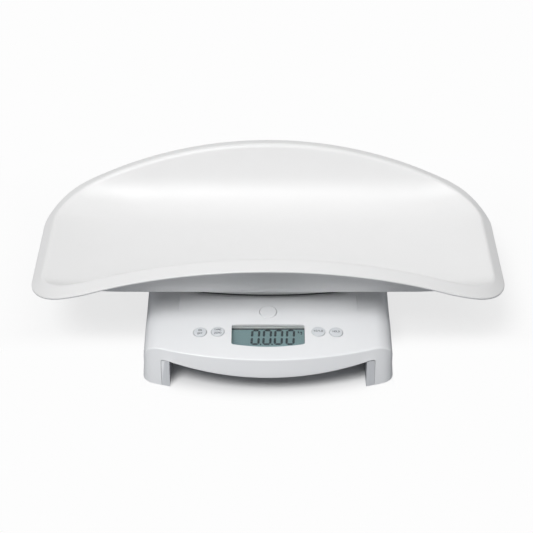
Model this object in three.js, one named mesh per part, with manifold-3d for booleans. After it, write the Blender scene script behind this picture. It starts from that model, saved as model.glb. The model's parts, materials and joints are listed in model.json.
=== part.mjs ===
// A free-standing baby scale: a low base with display and keys, and a lift-off trough tray.
// Millimetres, +Z up, the front with the display faces -Y. The origin is on the floor, under the
// middle of the whole object. Inside, lengths along Y are measured from the middle of the tray.
import * as THREE from 'three';
import { mergeVertices } from 'three/addons/utils/BufferGeometryUtils.js';
import Module from 'manifold-3d';

const wasm = await Module();
wasm.setup();

// Driving sizes: the tray
const trayLength = 549;
const seatHeight = 11.7;
const trayDepth = 79;
const trayEndDepth = 13.3;
const trayMouthHalf = 134.2;
const trayWall = 3;
const seatGap = 0.5;
const sideFlange = 20.7;
const endFlange = 13.5;
const sideFlangeDrop = 5.6;
const endFlangeDrop = 11;
const wallSlope = THREE.MathUtils.degToRad(69);
const sideRadius = 60;
const floorSlope = THREE.MathUtils.degToRad(5.5);
const endRise = 5.3;
const riseFade = 20;
const rimRound = 4.5;
const cornerStart = 61;
const cornerLead = 35;
const cornerTail = 32;
const endStraight = 62;

// Driving sizes: the base
const baseWidth = 284;
const baseFront = 176;
const baseBack = 112;
const frontArc = 349;
const cornerRadius = 18;
const deckHeight = 67.5;
const deckEdge = 60;
const panelSlope = 0.15;
const panelRadius = 2170;
const edgeRound = 5;
const shoulderRadius = 20;
const skirtFlare = 1.2;
const coverWall = 3;
const platformInset = 38;
const platformStep = 4;
const platformStart = 95;
const platformFade = 32;
const legWidth = 20.8;
const notchWidth = 7.7;
const notchRise = 9.3;
const notchSetback = 0.6;
const bandHeight = 21.3;
const skirtFloor = 13.8;
const legFloor = 0.6;
const legLength = 48;

// Driving sizes: display, keys and release button
const windowWidth = 83;
const windowMargin = 23.2;
const windowRun = 35.4;
const windowBow = 4.3;
const windowRound = 3;
const lensThick = 1.6;
const lensLap = 3;
const postRadius = 1.6;
const bezelThick = 1.6;
const lcdThick = 2.8;
const reflectorThick = 2;
const boardThick = 1.6;
const boardOverhang = 20.6;
const boardDepth = 36;
const keyRadius = 7.45;
const keyProud = 0.9;
const keyTravel = 0.8;
const keyRow = 128;
const keyPlaces = [-77.4, -57.2, 57.2, 77.4];
const switchSide = 6;
const releaseRadius = 9.6;
const releasePlace = 97;
const releaseTravel = 3;

// Driving sizes: feet, cells, screws and clearances
const footRadius = 11;
const footHeight = 5;
const footSide = 16.5;
const footInset = 24;
const footBlockWidth = 30.5;
const housingThick = 3;
const shelfThick = 2.5;
const cellRadius = 7.25;
const cellLength = 49.2;
const cellNub = 1.3;
const cellCount = 6;
const bayFront = -4;
const bayRoof = 2;
const doorThick = 2.2;
const screwRadius = 1.5;
const screwHead = 3.4;
const headHigh = 2.2;
const coverScrewReach = 26;
const gap = 0.3;
const runningGap = 0.4;
const traySeatInset = 4;
const traySeatFront = 71.7;
const traySeatArc = 485;

const materials = {
  trayPlastic: new THREE.MeshStandardMaterial({ color: 0xf3f4f4, roughness: 0.35 }),
  seatPlastic: new THREE.MeshStandardMaterial({ color: 0xe4e6e6, roughness: 0.5 }),
  coverPlastic: new THREE.MeshStandardMaterial({ color: 0xf1f2f3, roughness: 0.4 }),
  housingPlastic: new THREE.MeshStandardMaterial({ color: 0xd6d8db, roughness: 0.5 }),
  keyPlastic: new THREE.MeshStandardMaterial({ color: 0xdfe2e4, roughness: 0.4 }),
  clearPlastic: new THREE.MeshStandardMaterial({ color: 0xe9eeee, roughness: 0.1 }),
  displayGlass: new THREE.MeshStandardMaterial({ color: 0x8fa09e, roughness: 0.3 }),
  boardGreen: new THREE.MeshStandardMaterial({ color: 0x2c6b45, roughness: 0.6 }),
  blackPlastic: new THREE.MeshStandardMaterial({ color: 0x1d1f21, roughness: 0.5 }),
  rubber: new THREE.MeshStandardMaterial({ color: 0x55585a, roughness: 0.9 }),
  steel: new THREE.MeshStandardMaterial({ color: 0xb9bcbe, roughness: 0.35, metalness: 1 }),
  cellJacket: new THREE.MeshStandardMaterial({ color: 0x3c4f63, roughness: 0.4, metalness: 0.3 }),
};

// Solids: closed skins, and cuts and joins between them

function solid(geometry) {
  const flat = geometry.index ? geometry.toNonIndexed() : geometry;
  const bare = new THREE.BufferGeometry();
  bare.setAttribute('position', flat.getAttribute('position'));
  const merged = mergeVertices(bare, 1e-4);
  const faces = [];
  for (let i = 0; i < merged.index.count; i += 3) {
    const [a, b, c] = [0, 1, 2].map((k) => merged.index.getX(i + k));
    if (a !== b && b !== c && c !== a) faces.push(a, b, c);
  }
  const vertProperties = merged.getAttribute('position').array;
  const triVerts = new Uint32Array(faces);
  return new wasm.Manifold(new wasm.Mesh({ numProp: 3, vertProperties, triVerts }));
}

function geometryOf(body) {
  const mesh = body.getMesh();
  const geometry = new THREE.BufferGeometry();
  geometry.setAttribute('position', new THREE.BufferAttribute(mesh.vertProperties, mesh.numProp));
  geometry.setIndex(new THREE.BufferAttribute(mesh.triVerts, 1));
  geometry.computeVertexNormals();
  return geometry;
}

const join = (first, ...others) => others.reduce((sum, next) => sum.add(next), first);
const cut = (first, ...others) => others.reduce((rest, next) => rest.subtract(next), first);

// Rings of equal length, counter-clockwise from above and listed from the underside to the top.
function ringSkin(rings) {
  const count = rings[0].length;
  const middle = (ring) => ring.reduce((sum, p) => sum.add(p), new THREE.Vector3()).divideScalar(count);
  const points = [...rings.flat(), middle(rings[0]), middle(rings.at(-1))];
  const [low, high] = [points.length - 2, points.length - 1];
  const top = (rings.length - 1) * count;
  const faces = [];
  for (let i = 0; i < count; i += 1) {
    const j = (i + 1) % count;
    for (let start = 0; start < top; start += count) {
      const [a, b, c, d] = [start + i, start + j, start + count + j, start + count + i];
      faces.push(a, b, c, a, c, d);
    }
    faces.push(low, j, i, high, top + i, top + j);
  }
  const geometry = new THREE.BufferGeometry().setFromPoints(points);
  geometry.setIndex(faces);
  return geometry;
}

// A box between two corners, given in any order along X.
function block(x0, x1, y0, y1, z0, z1) {
  const box = new THREE.BoxGeometry(Math.abs(x1 - x0), y1 - y0, z1 - z0);
  return box.translate((x0 + x1) / 2, (y0 + y1) / 2, (z0 + z1) / 2);
}

function rod(radius, z0, z1, x = 0, y = 0, sides = 20) {
  const cylinder = new THREE.CylinderGeometry(radius, radius, z1 - z0, sides);
  return cylinder.rotateX(Math.PI / 2).translate(x, y, (z0 + z1) / 2);
}

// A body turned about +Z from [radius, height] points that start and end on the axis.
function turned(profile, sides = 16) {
  const points = profile.map(([r, z]) => new THREE.Vector2(r, z));
  return new THREE.LatheGeometry(points, sides).rotateX(Math.PI / 2);
}

function roundedRectangle(x0, x1, y0, y1, radius) {
  const shape = new THREE.Shape();
  shape.moveTo(x0 + radius, y0);
  shape.lineTo(x1 - radius, y0);
  shape.absarc(x1 - radius, y0 + radius, radius, -Math.PI / 2, 0);
  shape.lineTo(x1, y1 - radius);
  shape.absarc(x1 - radius, y1 - radius, radius, 0, Math.PI / 2);
  shape.lineTo(x0 + radius, y1);
  shape.absarc(x0 + radius, y1 - radius, radius, Math.PI / 2, Math.PI);
  shape.lineTo(x0, y0 + radius);
  shape.absarc(x0 + radius, y0 + radius, radius, Math.PI, 1.5 * Math.PI);
  return shape;
}

function plate(shape, z0, z1, curveSegments = 4) {
  const settings = { depth: z1 - z0, bevelEnabled: false, curveSegments };
  return new THREE.ExtrudeGeometry(shape, settings).translate(0, 0, z0);
}

// A side outline given as [y, z] points, drawn out along X.
function slab(outline, x0, x1) {
  const shape = new THREE.Shape(outline.map(([y, z]) => new THREE.Vector2(y, z)));
  const geometry = plate(shape, x0, x1);
  return geometry.applyMatrix4(new THREE.Matrix4().makeBasis(
    new THREE.Vector3(0, 1, 0),
    new THREE.Vector3(0, 0, 1),
    new THREE.Vector3(1, 0, 0),
  ));
}

// A front outline drawn in X and Z, carried along Y.
function frontSlab(shape, y0, y1, curveSegments) {
  return plate(shape, -y1, -y0, curveSegments).rotateX(Math.PI / 2);
}

const assembly = new THREE.Group();
assembly.position.y = (baseFront + skirtFlare - trayMouthHalf - sideFlange) / 2;

function add(name, shape, material, parent = assembly) {
  const geometry = shape.isBufferGeometry ? geometryOf(solid(shape)) : geometryOf(shape);
  const mesh = new THREE.Mesh(geometry, material);
  mesh.name = name;
  parent.add(mesh);
  return mesh;
}

// Tray: the trough's cross-section, front to back

const floorHeight = deckHeight + seatHeight;
const trayRimHeight = floorHeight + trayDepth;
const mouthEnd = trayLength / 2 - endFlange;

// How deep the straight wall reaches, so that wall, side arc and floor arc run into each other.
function straightWall() {
  const lift = Math.tan(floorSlope / 2);
  const arcHigh = sideRadius * (Math.cos(floorSlope) - Math.cos(wallSlope));
  const arcWide = sideRadius * (Math.sin(wallSlope) - Math.sin(floorSlope));
  const rest = trayDepth - arcHigh - (trayMouthHalf - arcWide) * lift;
  return rest / (1 - lift / Math.tan(wallSlope));
}

const wallFoot = straightWall();
const sideCentreY = trayMouthHalf - wallFoot / Math.tan(wallSlope) - sideRadius * Math.sin(wallSlope);
const sideCentreZ = trayRimHeight - wallFoot + sideRadius * Math.cos(wallSlope);
const floorEdgeY = sideCentreY + sideRadius * Math.sin(floorSlope);
const floorRadius = floorEdgeY / Math.sin(floorSlope);
const rimFall = trayDepth - trayEndDepth;
const trayRimArc = (mouthEnd ** 2 + rimFall ** 2) / (2 * rimFall);

const rimHeight = (x) => trayRimHeight - trayRimArc + Math.sqrt(trayRimArc ** 2 - x ** 2);

function sectionHeight(y) {
  const side = Math.abs(y);
  if (side < floorEdgeY) return floorHeight + floorRadius - Math.sqrt(floorRadius ** 2 - side ** 2);
  const reach = side - sideCentreY;
  const straight = reach > sideRadius * Math.sin(wallSlope);
  if (straight) return trayRimHeight - (trayMouthHalf - side) * Math.tan(wallSlope);
  return sideCentreZ - Math.sqrt(sideRadius ** 2 - reach ** 2);
}

// The floor rises a little towards the ends, and less where it turns up into the walls.
function troughHeight(x, y) {
  const section = sectionHeight(y);
  const fade = 1 - THREE.MathUtils.smoothstep(section - floorHeight, 0, riseFade);
  return section + endRise * (x / mouthEnd) ** 2 * fade;
}

// The rim is an arc seen from the front, so the mouth is as wide as the section is at that height.
function mouthHalfAt(x) {
  const fall = trayRimHeight - rimHeight(x);
  if (fall < wallFoot) return trayMouthHalf - fall / Math.tan(wallSlope);
  return sideCentreY + Math.sqrt(sideRadius ** 2 - (sideCentreZ - trayRimHeight + fall) ** 2);
}

// A quarter of the mouth, from the middle of the long side round the corner to the middle of the end.
function quarterMouth() {
  const start = mouthEnd - cornerStart;
  const points = [];
  const sideSteps = 9;
  for (let i = 0; i < sideSteps; i += 1) {
    const x = (start * i) / sideSteps;
    points.push(new THREE.Vector2(x, mouthHalfAt(x)));
  }
  const from = new THREE.Vector2(start, mouthHalfAt(start));
  const slope = new THREE.Vector2(1, mouthHalfAt(start + 0.5) - mouthHalfAt(start - 0.5)).normalize();
  const to = new THREE.Vector2(mouthEnd, endStraight);
  const lead = from.clone().addScaledVector(slope, cornerLead);
  const tail = new THREE.Vector2(mouthEnd, endStraight + cornerTail);
  const corner = new THREE.CubicBezierCurve(from, lead, tail, to);
  points.push(...corner.getSpacedPoints(7));
  const endSteps = 3;
  for (let i = 1; i <= endSteps; i += 1) {
    points.push(new THREE.Vector2(mouthEnd, endStraight * (1 - i / endSteps)));
  }
  return points;
}

// The whole mouth, counter-clockwise from above.
function mouthLoop() {
  const quarter = quarterMouth();
  const right = quarter.map((p) => [p.x, -p.y]);
  const back = quarter.slice(0, -1).reverse().map((p) => [p.x, p.y]);
  const left = quarter.slice(1).map((p) => [-p.x, p.y]);
  const front = quarter.slice(1, -1).reverse().map((p) => [-p.x, -p.y]);
  return [...right, ...back, ...left, ...front].map(([x, y]) => new THREE.Vector2(x, y));
}

function outwardNormals(loop) {
  const count = loop.length;
  return loop.map((p, i) => {
    const along = loop[(i + 1) % count].clone().sub(loop[(i + count - 1) % count]).normalize();
    return new THREE.Vector2(along.y, -along.x);
  });
}

// Towards the mouth the trough is lifted by what its edge lacks to meet the arched rim.
function trayTopRings() {
  const loop = mouthLoop();
  const normals = outwardNormals(loop);
  const lift = loop.map((p) => rimHeight(p.x) - troughHeight(p.x, p.y));
  const inner = [0.2, 0.45, 0.58, 0.68, 0.77, 0.85, 0.92];
  const rings = inner.map((share) => loop.map((p, i) => {
    const [x, y] = [p.x * share, p.y * share];
    return new THREE.Vector3(x, y, troughHeight(x, y) + lift[i] * share ** 5);
  }));
  const flange = loop.map((p, i) => {
    const end = THREE.MathUtils.smoothstep(Math.abs(normals[i].x), 0.4, 1);
    const width = THREE.MathUtils.lerp(sideFlange, endFlange, end);
    const fall = (Math.abs(p.x) / mouthEnd) ** 8;
    return { width, drop: THREE.MathUtils.lerp(sideFlangeDrop, endFlangeDrop, fall) };
  });
  const onFlange = (share) => loop.map((p, i) => {
    const { width, drop } = flange[i];
    const spot = p.clone().addScaledVector(normals[i], width * share);
    return new THREE.Vector3(spot.x, spot.y, rimHeight(p.x) - drop * share);
  });
  // The edge between trough and flange is rounded by a curve drawn through three rings.
  const below = loop.map((p, i) => {
    const spot = p.clone().addScaledVector(normals[i], -rimRound / 2);
    return new THREE.Vector3(spot.x, spot.y, troughHeight(spot.x, spot.y) + lift[i]);
  });
  const beyond = onFlange(rimRound / sideFlange);
  const crest = loop.map((p, i) => {
    const corner = new THREE.Vector3(p.x, p.y, rimHeight(p.x));
    return below[i].clone().add(beyond[i]).addScaledVector(corner, 2).divideScalar(4);
  });
  rings.push(below, crest, beyond, onFlange(1 - trayWall / 2 / sideFlange));
  return rings;
}

// Points set back from a skin of rings by the wall, square to the skin.
function innerRings(rings, wall) {
  const count = rings[0].length;
  return rings.map((ring, k) => ring.map((p, i) => {
    const along = ring[(i + 1) % count].clone().sub(ring[(i + count - 1) % count]);
    const outer = rings[Math.min(k + 1, rings.length - 1)][i];
    const across = outer.clone().sub(rings[Math.max(k - 1, 0)][i]);
    const up = across.cross(along).normalize();
    return p.clone().addScaledVector(up, -wall);
  }));
}

const trayTop = trayTopRings();
const trayUnder = innerRings(trayTop, trayWall);
const underCrest = trayUnder.length - 3;
trayUnder.splice(underCrest, 1);
const trayEdge = trayTop.at(-1).map((p, i) => {
  const low = trayUnder.at(-1)[i];
  const out = new THREE.Vector3(p.x - trayTop.at(-2)[i].x, p.y - trayTop.at(-2)[i].y, 0).normalize();
  return p.clone().add(low).divideScalar(2).addScaledVector(out, trayWall / 2);
});

const halfBase = baseWidth / 2;
const platformHalf = halfBase - platformInset;
const traySeatHalf = platformHalf - traySeatInset;
const seatFloor = deckHeight + gap;
const bossX = 60;
const bossY = 30;
const bossRadius = 5;
const bossLength = 3.2;
const bossFoot = floorHeight - trayWall - bossLength;
const bossPlaces = [[-bossX, -bossY], [bossX, -bossY], [-bossX, bossY], [bossX, bossY]];
const screwTop = floorHeight - trayWall / 2;

function trayBody() {
  const shell = solid(ringSkin([...trayUnder, trayEdge, ...[...trayTop].reverse()]));
  const bosses = bossPlaces.map(([x, y]) =>
    solid(rod(bossRadius, bossFoot, troughHeight(x, y) - trayWall / 2, x, y, 14)));
  const holes = bossPlaces.map(([x, y]) =>
    solid(rod(screwRadius + gap, bossFoot - 1, screwTop + gap, x, y, 8)));
  return cut(join(shell, ...bosses), ...holes);
}

add('tray', trayBody(), materials.trayPlastic);

// Tray seat: the low pad screwed under the tray, with two tongues that reach into the base

const tongueHalf = 6;
const tongueThick = 5;
const rootHalf = 10;
const tonguePlaces = [-38, 42];
const tongueFoot = deckHeight - 9.7;
const hookReach = releaseTravel - 1;
const catchDepth = hookReach + 2 * gap;
const catchLow = deckHeight - 8;
const catchHigh = deckHeight - 4.8;
const seatCorner = 14;
const seatRib = 4;
const seatWall = 6;
const headDepth = 3;

function seatLoop(inset) {
  const points = [];
  const steps = 8;
  const bow = traySeatArc - traySeatFront;
  const half = traySeatHalf - inset;
  const edgeAt = (x) => Math.sqrt((traySeatArc - inset) ** 2 - x ** 2) - bow;
  const corner = seatCorner - inset;
  for (let i = 0; i <= steps; i += 1) {
    const x = (half - corner) * ((2 * i) / steps - 1);
    points.push([x, -edgeAt(x)]);
  }
  const [midX, midY] = [half - corner, corner - edgeAt(half - corner)];
  for (let i = 1; i <= 3; i += 1) {
    const a = (i * Math.PI) / 6 - Math.PI / 2;
    points.push([midX + corner * Math.cos(a), midY + corner * Math.sin(a)]);
  }
  points.push([half, 0]);
  const rightHalf = points.slice(0, -1);
  const turnedBack = rightHalf.map(([x, y]) => [-x, -y]);
  return [...points, ...turnedBack, [-half, 0]].map(([x, y]) => new THREE.Vector2(x, y));
}

function traySeat() {
  const top = (x, y) => troughHeight(x, y) - trayWall * Math.hypot(1, sectionSlope(y)) - seatGap;
  const ring = (loop, share, height) => loop.map((p) => {
    const [x, y] = [p.x * share, p.y * share];
    return new THREE.Vector3(x, y, height(x, y));
  });
  const outer = seatLoop(0);
  const rings = [
    ring(seatLoop(1.5), 1, () => seatFloor),
    ring(outer, 1, () => seatFloor + 1.5),
    ...[1, 0.8, 0.6, 0.4, 0.2].map((share) => ring(outer, share, top)),
  ];
  const pad = solid(ringSkin(rings));
  const ceiling = floorHeight - trayWall - gap - 4;
  const spans = [[rootHalf, bossX - 12], [bossX + 12, traySeatHalf - seatWall]];
  const deep = traySeatFront - seatCorner;
  const pockets = [-1, 1].flatMap((side) => spans.flatMap(([near, far]) => [
    solid(block(side * near, side * far, -deep, -seatRib, seatFloor - 1, ceiling)),
    solid(block(side * near, side * far, seatRib, deep, seatFloor - 1, ceiling)),
  ]));
  const sockets = bossPlaces.flatMap(([x, y]) => [
    solid(rod(bossRadius + gap, bossFoot - gap, trayRimHeight, x, y, 14)),
    solid(rod(screwRadius + gap, seatFloor - 1, bossFoot + 1, x, y, 8)),
    solid(rod(screwHead + gap, seatFloor - 1, seatFloor + headDepth, x, y, 12)),
  ]);
  const tongues = tonguePlaces.map((y) => {
    const back = y + tongueThick / 2;
    const blade = block(-tongueHalf, tongueHalf, back - tongueThick, back, tongueFoot, seatFloor + 4);
    const wide = tongueHalf + 1;
    return cut(solid(blade), solid(block(-wide, wide, back - catchDepth, back + 1, catchLow, catchHigh)));
  });
  const roots = tonguePlaces.map((y) =>
    solid(block(-rootHalf - 1, rootHalf + 1, y - 6, y + 6, seatFloor, ceiling + 1)));
  return join(cut(pad, ...pockets, ...sockets), ...roots, ...tongues);
}

function sectionSlope(y) {
  return sectionHeight(y + 0.5) - sectionHeight(y - 0.5);
}

add('tray_seat', traySeat(), materials.seatPlastic);

// A pan-head screw standing on its head.
function screw(length) {
  return turned([[0, 0], [screwHead - 0.8, 0], [screwHead, 0.8], [screwHead, headHigh],
    [screwRadius, headHigh], [screwRadius, length], [0, length]], 10);
}

bossPlaces.forEach(([x, y], i) => {
  const low = seatFloor + headDepth - gap - headHigh;
  const piece = add('tray_screw_' + (i + 1), screw(screwTop - low), materials.steel);
  piece.position.set(x, y, low);
});

// Base: outline from above, and the height of its top

const arcCentre = frontArc - baseFront;
const cornerX = halfBase - cornerRadius;
const cornerY = arcCentre - Math.sqrt((frontArc - cornerRadius) ** 2 - cornerX ** 2);
const cornerTurn = Math.atan2(cornerX, arcCentre - cornerY);
const backRadius = 12;

// The deck is level. In front of it the panel falls away from the centre of the front's arc.
const panelReach = (x, y) => Math.max(Math.hypot(x, arcCentre - y) - arcCentre - deckEdge, 0);

function panelHeight(x, y) {
  const reach = panelReach(x, y);
  return deckHeight - panelSlope * reach - reach ** 2 / (2 * panelRadius);
}

const panelFall = (y) => panelSlope + panelReach(0, y) / panelRadius;

function shoulderDrop(x) {
  const over = Math.max(Math.abs(x) - halfBase + shoulderRadius, 0);
  return shoulderRadius - Math.sqrt(Math.max(shoulderRadius ** 2 - over ** 2, 0));
}

const fadeEnd = -platformStart + platformFade;
const sideStep = (y) => platformStep * THREE.MathUtils.smoothstep(y, -platformStart, fadeEnd);

const topHeight = (x, y, stepped = true) =>
  panelHeight(x, y) - (stepped ? sideStep(y) : 0) - shoulderDrop(x);

const bandFloor = panelHeight(0, -baseFront) - bandHeight;
const notchHeight = bandFloor + notchRise;
const legInner = halfBase - legWidth;
const notchEnd = legInner - notchWidth;
const beyond = baseWidth;

function baseLoop(inset, coarse = false) {
  const points = [];
  const frontSteps = coarse ? 10 : 18;
  const front = frontArc - inset;
  for (let i = 0; i <= frontSteps; i += 1) {
    const a = cornerTurn * ((2 * i) / frontSteps - 1);
    points.push([front * Math.sin(a), arcCentre - front * Math.cos(a)]);
  }
  const small = cornerRadius - inset;
  const cornerSteps = coarse ? 2 : 3;
  for (let i = 1; i <= cornerSteps; i += 1) {
    const a = THREE.MathUtils.lerp(cornerTurn, Math.PI / 2, i / cornerSteps);
    points.push([cornerX + small * Math.sin(a), cornerY - small * Math.cos(a)]);
  }
  const side = halfBase - inset;
  const fadeMiddle = fadeEnd - platformFade / 2;
  const bend = (cornerY - platformStart) / 2;
  const sidePlaces = [bend, -platformStart, fadeMiddle, fadeEnd, 0, baseBack - backRadius];
  sidePlaces.forEach((y) => points.push([side, y]));
  const back = backRadius - inset;
  const backX = halfBase - backRadius;
  for (let i = 1; i <= 3; i += 1) {
    const a = (i * Math.PI) / 6;
    points.push([backX + back * Math.cos(a), baseBack - backRadius + back * Math.sin(a)]);
  }
  points.push([backX / 2, baseBack - inset], [0, baseBack - inset]);
  const arcCount = frontSteps + 1;
  const mirrored = points.slice(arcCount, -1).reverse().map(([x, y]) => [-x, y]);
  return [...points, ...mirrored].map(([x, y]) => new THREE.Vector2(x, y));
}

// The rounded top of the base: edge rings first, then rings drawn in towards the middle.
function domeRings(inset, round, sink, shares, turns, coarse, stepped = true) {
  const rings = turns.map((a) => {
    const loop = baseLoop(inset + round * (1 - Math.cos(a)), coarse);
    const drop = sink + round * (1 - Math.sin(a));
    return loop.map((p) => new THREE.Vector3(p.x, p.y, topHeight(p.x, p.y, stepped) - drop));
  });
  const edge = baseLoop(inset + round, coarse);
  const middle = (baseBack - baseFront) / 2;
  shares.forEach((share) => rings.push(edge.map((p) => {
    const [x, y] = [p.x * share, middle + (p.y - middle) * share];
    return new THREE.Vector3(x, y, topHeight(x, y, stepped) - sink);
  })));
  return rings;
}

function footPrint(inset, z, coarse) {
  return baseLoop(inset, coarse).map((p) => new THREE.Vector3(p.x, p.y, z));
}

// The arch in the front band, with square-shouldered notches beside the legs.
function archShape(floor) {
  const sagitta = notchHeight - floor;
  const radius = (notchEnd ** 2 + sagitta ** 2) / (2 * sagitta);
  const spread = Math.asin(notchEnd / radius);
  const shape = new THREE.Shape();
  shape.moveTo(-legInner, -10);
  shape.lineTo(legInner, -10);
  shape.lineTo(legInner, notchHeight - 2);
  shape.absarc(legInner - 2, notchHeight - 2, 2, 0, Math.PI / 2);
  shape.lineTo(notchEnd, notchHeight);
  shape.absarc(0, floor + radius, radius, -Math.PI / 2 + spread, -Math.PI / 2 - spread, true);
  shape.lineTo(-legInner + 2, notchHeight);
  shape.absarc(-legInner + 2, notchHeight - 2, 2, Math.PI / 2, Math.PI);
  return shape;
}

const windowNear = baseFront - windowMargin;
const windowFar = windowNear - windowRun;
const windowMiddle = -(windowNear + windowFar) / 2;

// A frame on the sloped panel, with the display's tilt: its own Z is square to the display.
function panelFrame(x, y) {
  const frame = new THREE.Group();
  frame.position.set(x, y, panelHeight(x, y));
  frame.rotation.x = Math.atan(panelFall(windowMiddle));
  frame.updateMatrix();
  return frame;
}

function placed(geometry, frame) {
  return solid(geometry.applyMatrix4(frame.matrix));
}

const displayFrame = panelFrame(0, windowMiddle);

// A point of the panel in the display's own frame; its depth below the display is minus its z.
const onDisplay = (x, y) => new THREE.Vector3(x, y, panelHeight(x, y))
  .applyMatrix4(displayFrame.matrix.clone().invert());
const windowHalf = windowWidth / 2;
const windowDepth = (windowNear - windowFar) / Math.cos(displayFrame.rotation.x);

// The window's outline: straight far edge, near edge bowed like the front of the base.
function windowShape(grow, bow = windowBow) {
  const half = windowHalf + grow;
  const far = windowDepth / 2 + grow;
  const near = -windowDepth / 2 - grow;
  const r = windowRound;
  const shape = new THREE.Shape();
  shape.moveTo(-half, far - r);
  shape.lineTo(-half, near + bow + r);
  shape.quadraticCurveTo(-half, near + bow, -half + r, near + bow - r * 0.12);
  shape.quadraticCurveTo(0, near - bow + r * 0.12, half - r, near + bow - r * 0.12);
  shape.quadraticCurveTo(half, near + bow, half, near + bow + r);
  shape.lineTo(half, far - r);
  shape.absarc(half - r, far - r, r, 0, Math.PI / 2);
  shape.lineTo(-half + r, far);
  shape.absarc(-half + r, far - r, r, Math.PI / 2, Math.PI);
  return shape;
}

// Depths below the panel, square to it
const panelBulge = -onDisplay(windowHalf + lensLap, -windowNear - lensLap).z;
const lensTop = coverWall + panelBulge + gap;
const bezelTop = lensTop + lensThick + gap;
const lcdTop = bezelTop + bezelThick + gap;
const reflectorTop = lcdTop + lcdThick + gap;
const boardTop = reflectorTop + reflectorThick + gap;

const farKey = Math.max(...keyPlaces);
const boardLength = 2 * (farKey + boardOverhang);

const channelHalf = 8.3;
const buttonHeight = panelHeight(0, -releasePlace);
const buttonFall = panelFall(-releasePlace);
const slideLow = buttonHeight - 18;
const slideThick = 2.5;
const guideWall = 2;
const guideLip = 1.8;
const cupWall = 2;
const cupRadius = releaseRadius + cupWall;
const cupDepth = 11;
const cupThick = 1.6;
const cupFloor = buttonHeight - cupDepth;
const stemHalf = 4;
const stemFront = releasePlace + 5;
const stemBack = releasePlace - 4;
const guideFront = releasePlace - cupRadius - 3;
const guideBack = 62;

const coverBossX = halfBase - 19.5;
const coverBossPlaces = [-90, -15, 50].flatMap((y) => [[-coverBossX, y], [coverBossX, y]]);
const coverBossRadius = 4.5;
const housingFloor = skirtFloor + 0.2;
const coverScrewTop = housingFloor + coverScrewReach;

// A solid under the top of the base: a flared foot ring, the rounded edge, then the top.
function dome(inset, sink, stepped) {
  const quarter = Math.PI / 2;
  const turns = [0, quarter / 3, (2 * quarter) / 3, quarter];
  const shares = [0.965, 0.925, 0.83, 0.72, 0.6, 0.48, 0.2];
  const rings = domeRings(inset, edgeRound, sink, shares, turns, false, stepped);
  return solid(ringSkin([footPrint(inset - skirtFlare, legFloor), ...rings]));
}

// The raised platform under the tray: the unstepped top between two sides that lean in a little.
function platform() {
  const [low, high] = [deckHeight - 14, deckHeight + 1];
  const shape = new THREE.Shape();
  shape.moveTo(-platformHalf - 1.8, low);
  shape.lineTo(platformHalf + 1.8, low);
  shape.lineTo(platformHalf - 1.8, high);
  shape.lineTo(-platformHalf + 1.8, high);
  return dome(0, 0, false).intersect(solid(frontSlab(shape, -platformStart + 1, traySeatFront + 14)));
}

function coverShell() {
  const quarter = Math.PI / 2;
  const innerShares = [0.93, 0.8, 0.62, 0.46, 0.2];
  const cavityTurns = [0, quarter / 2, quarter];
  const cavity = ringSkin([
    footPrint(coverWall, legFloor - 5, true),
    ...domeRings(coverWall, 2, coverWall, innerShares, cavityTurns, true),
  ]);
  return cut(join(dome(0, 0, true), platform()), solid(cavity));
}

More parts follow.
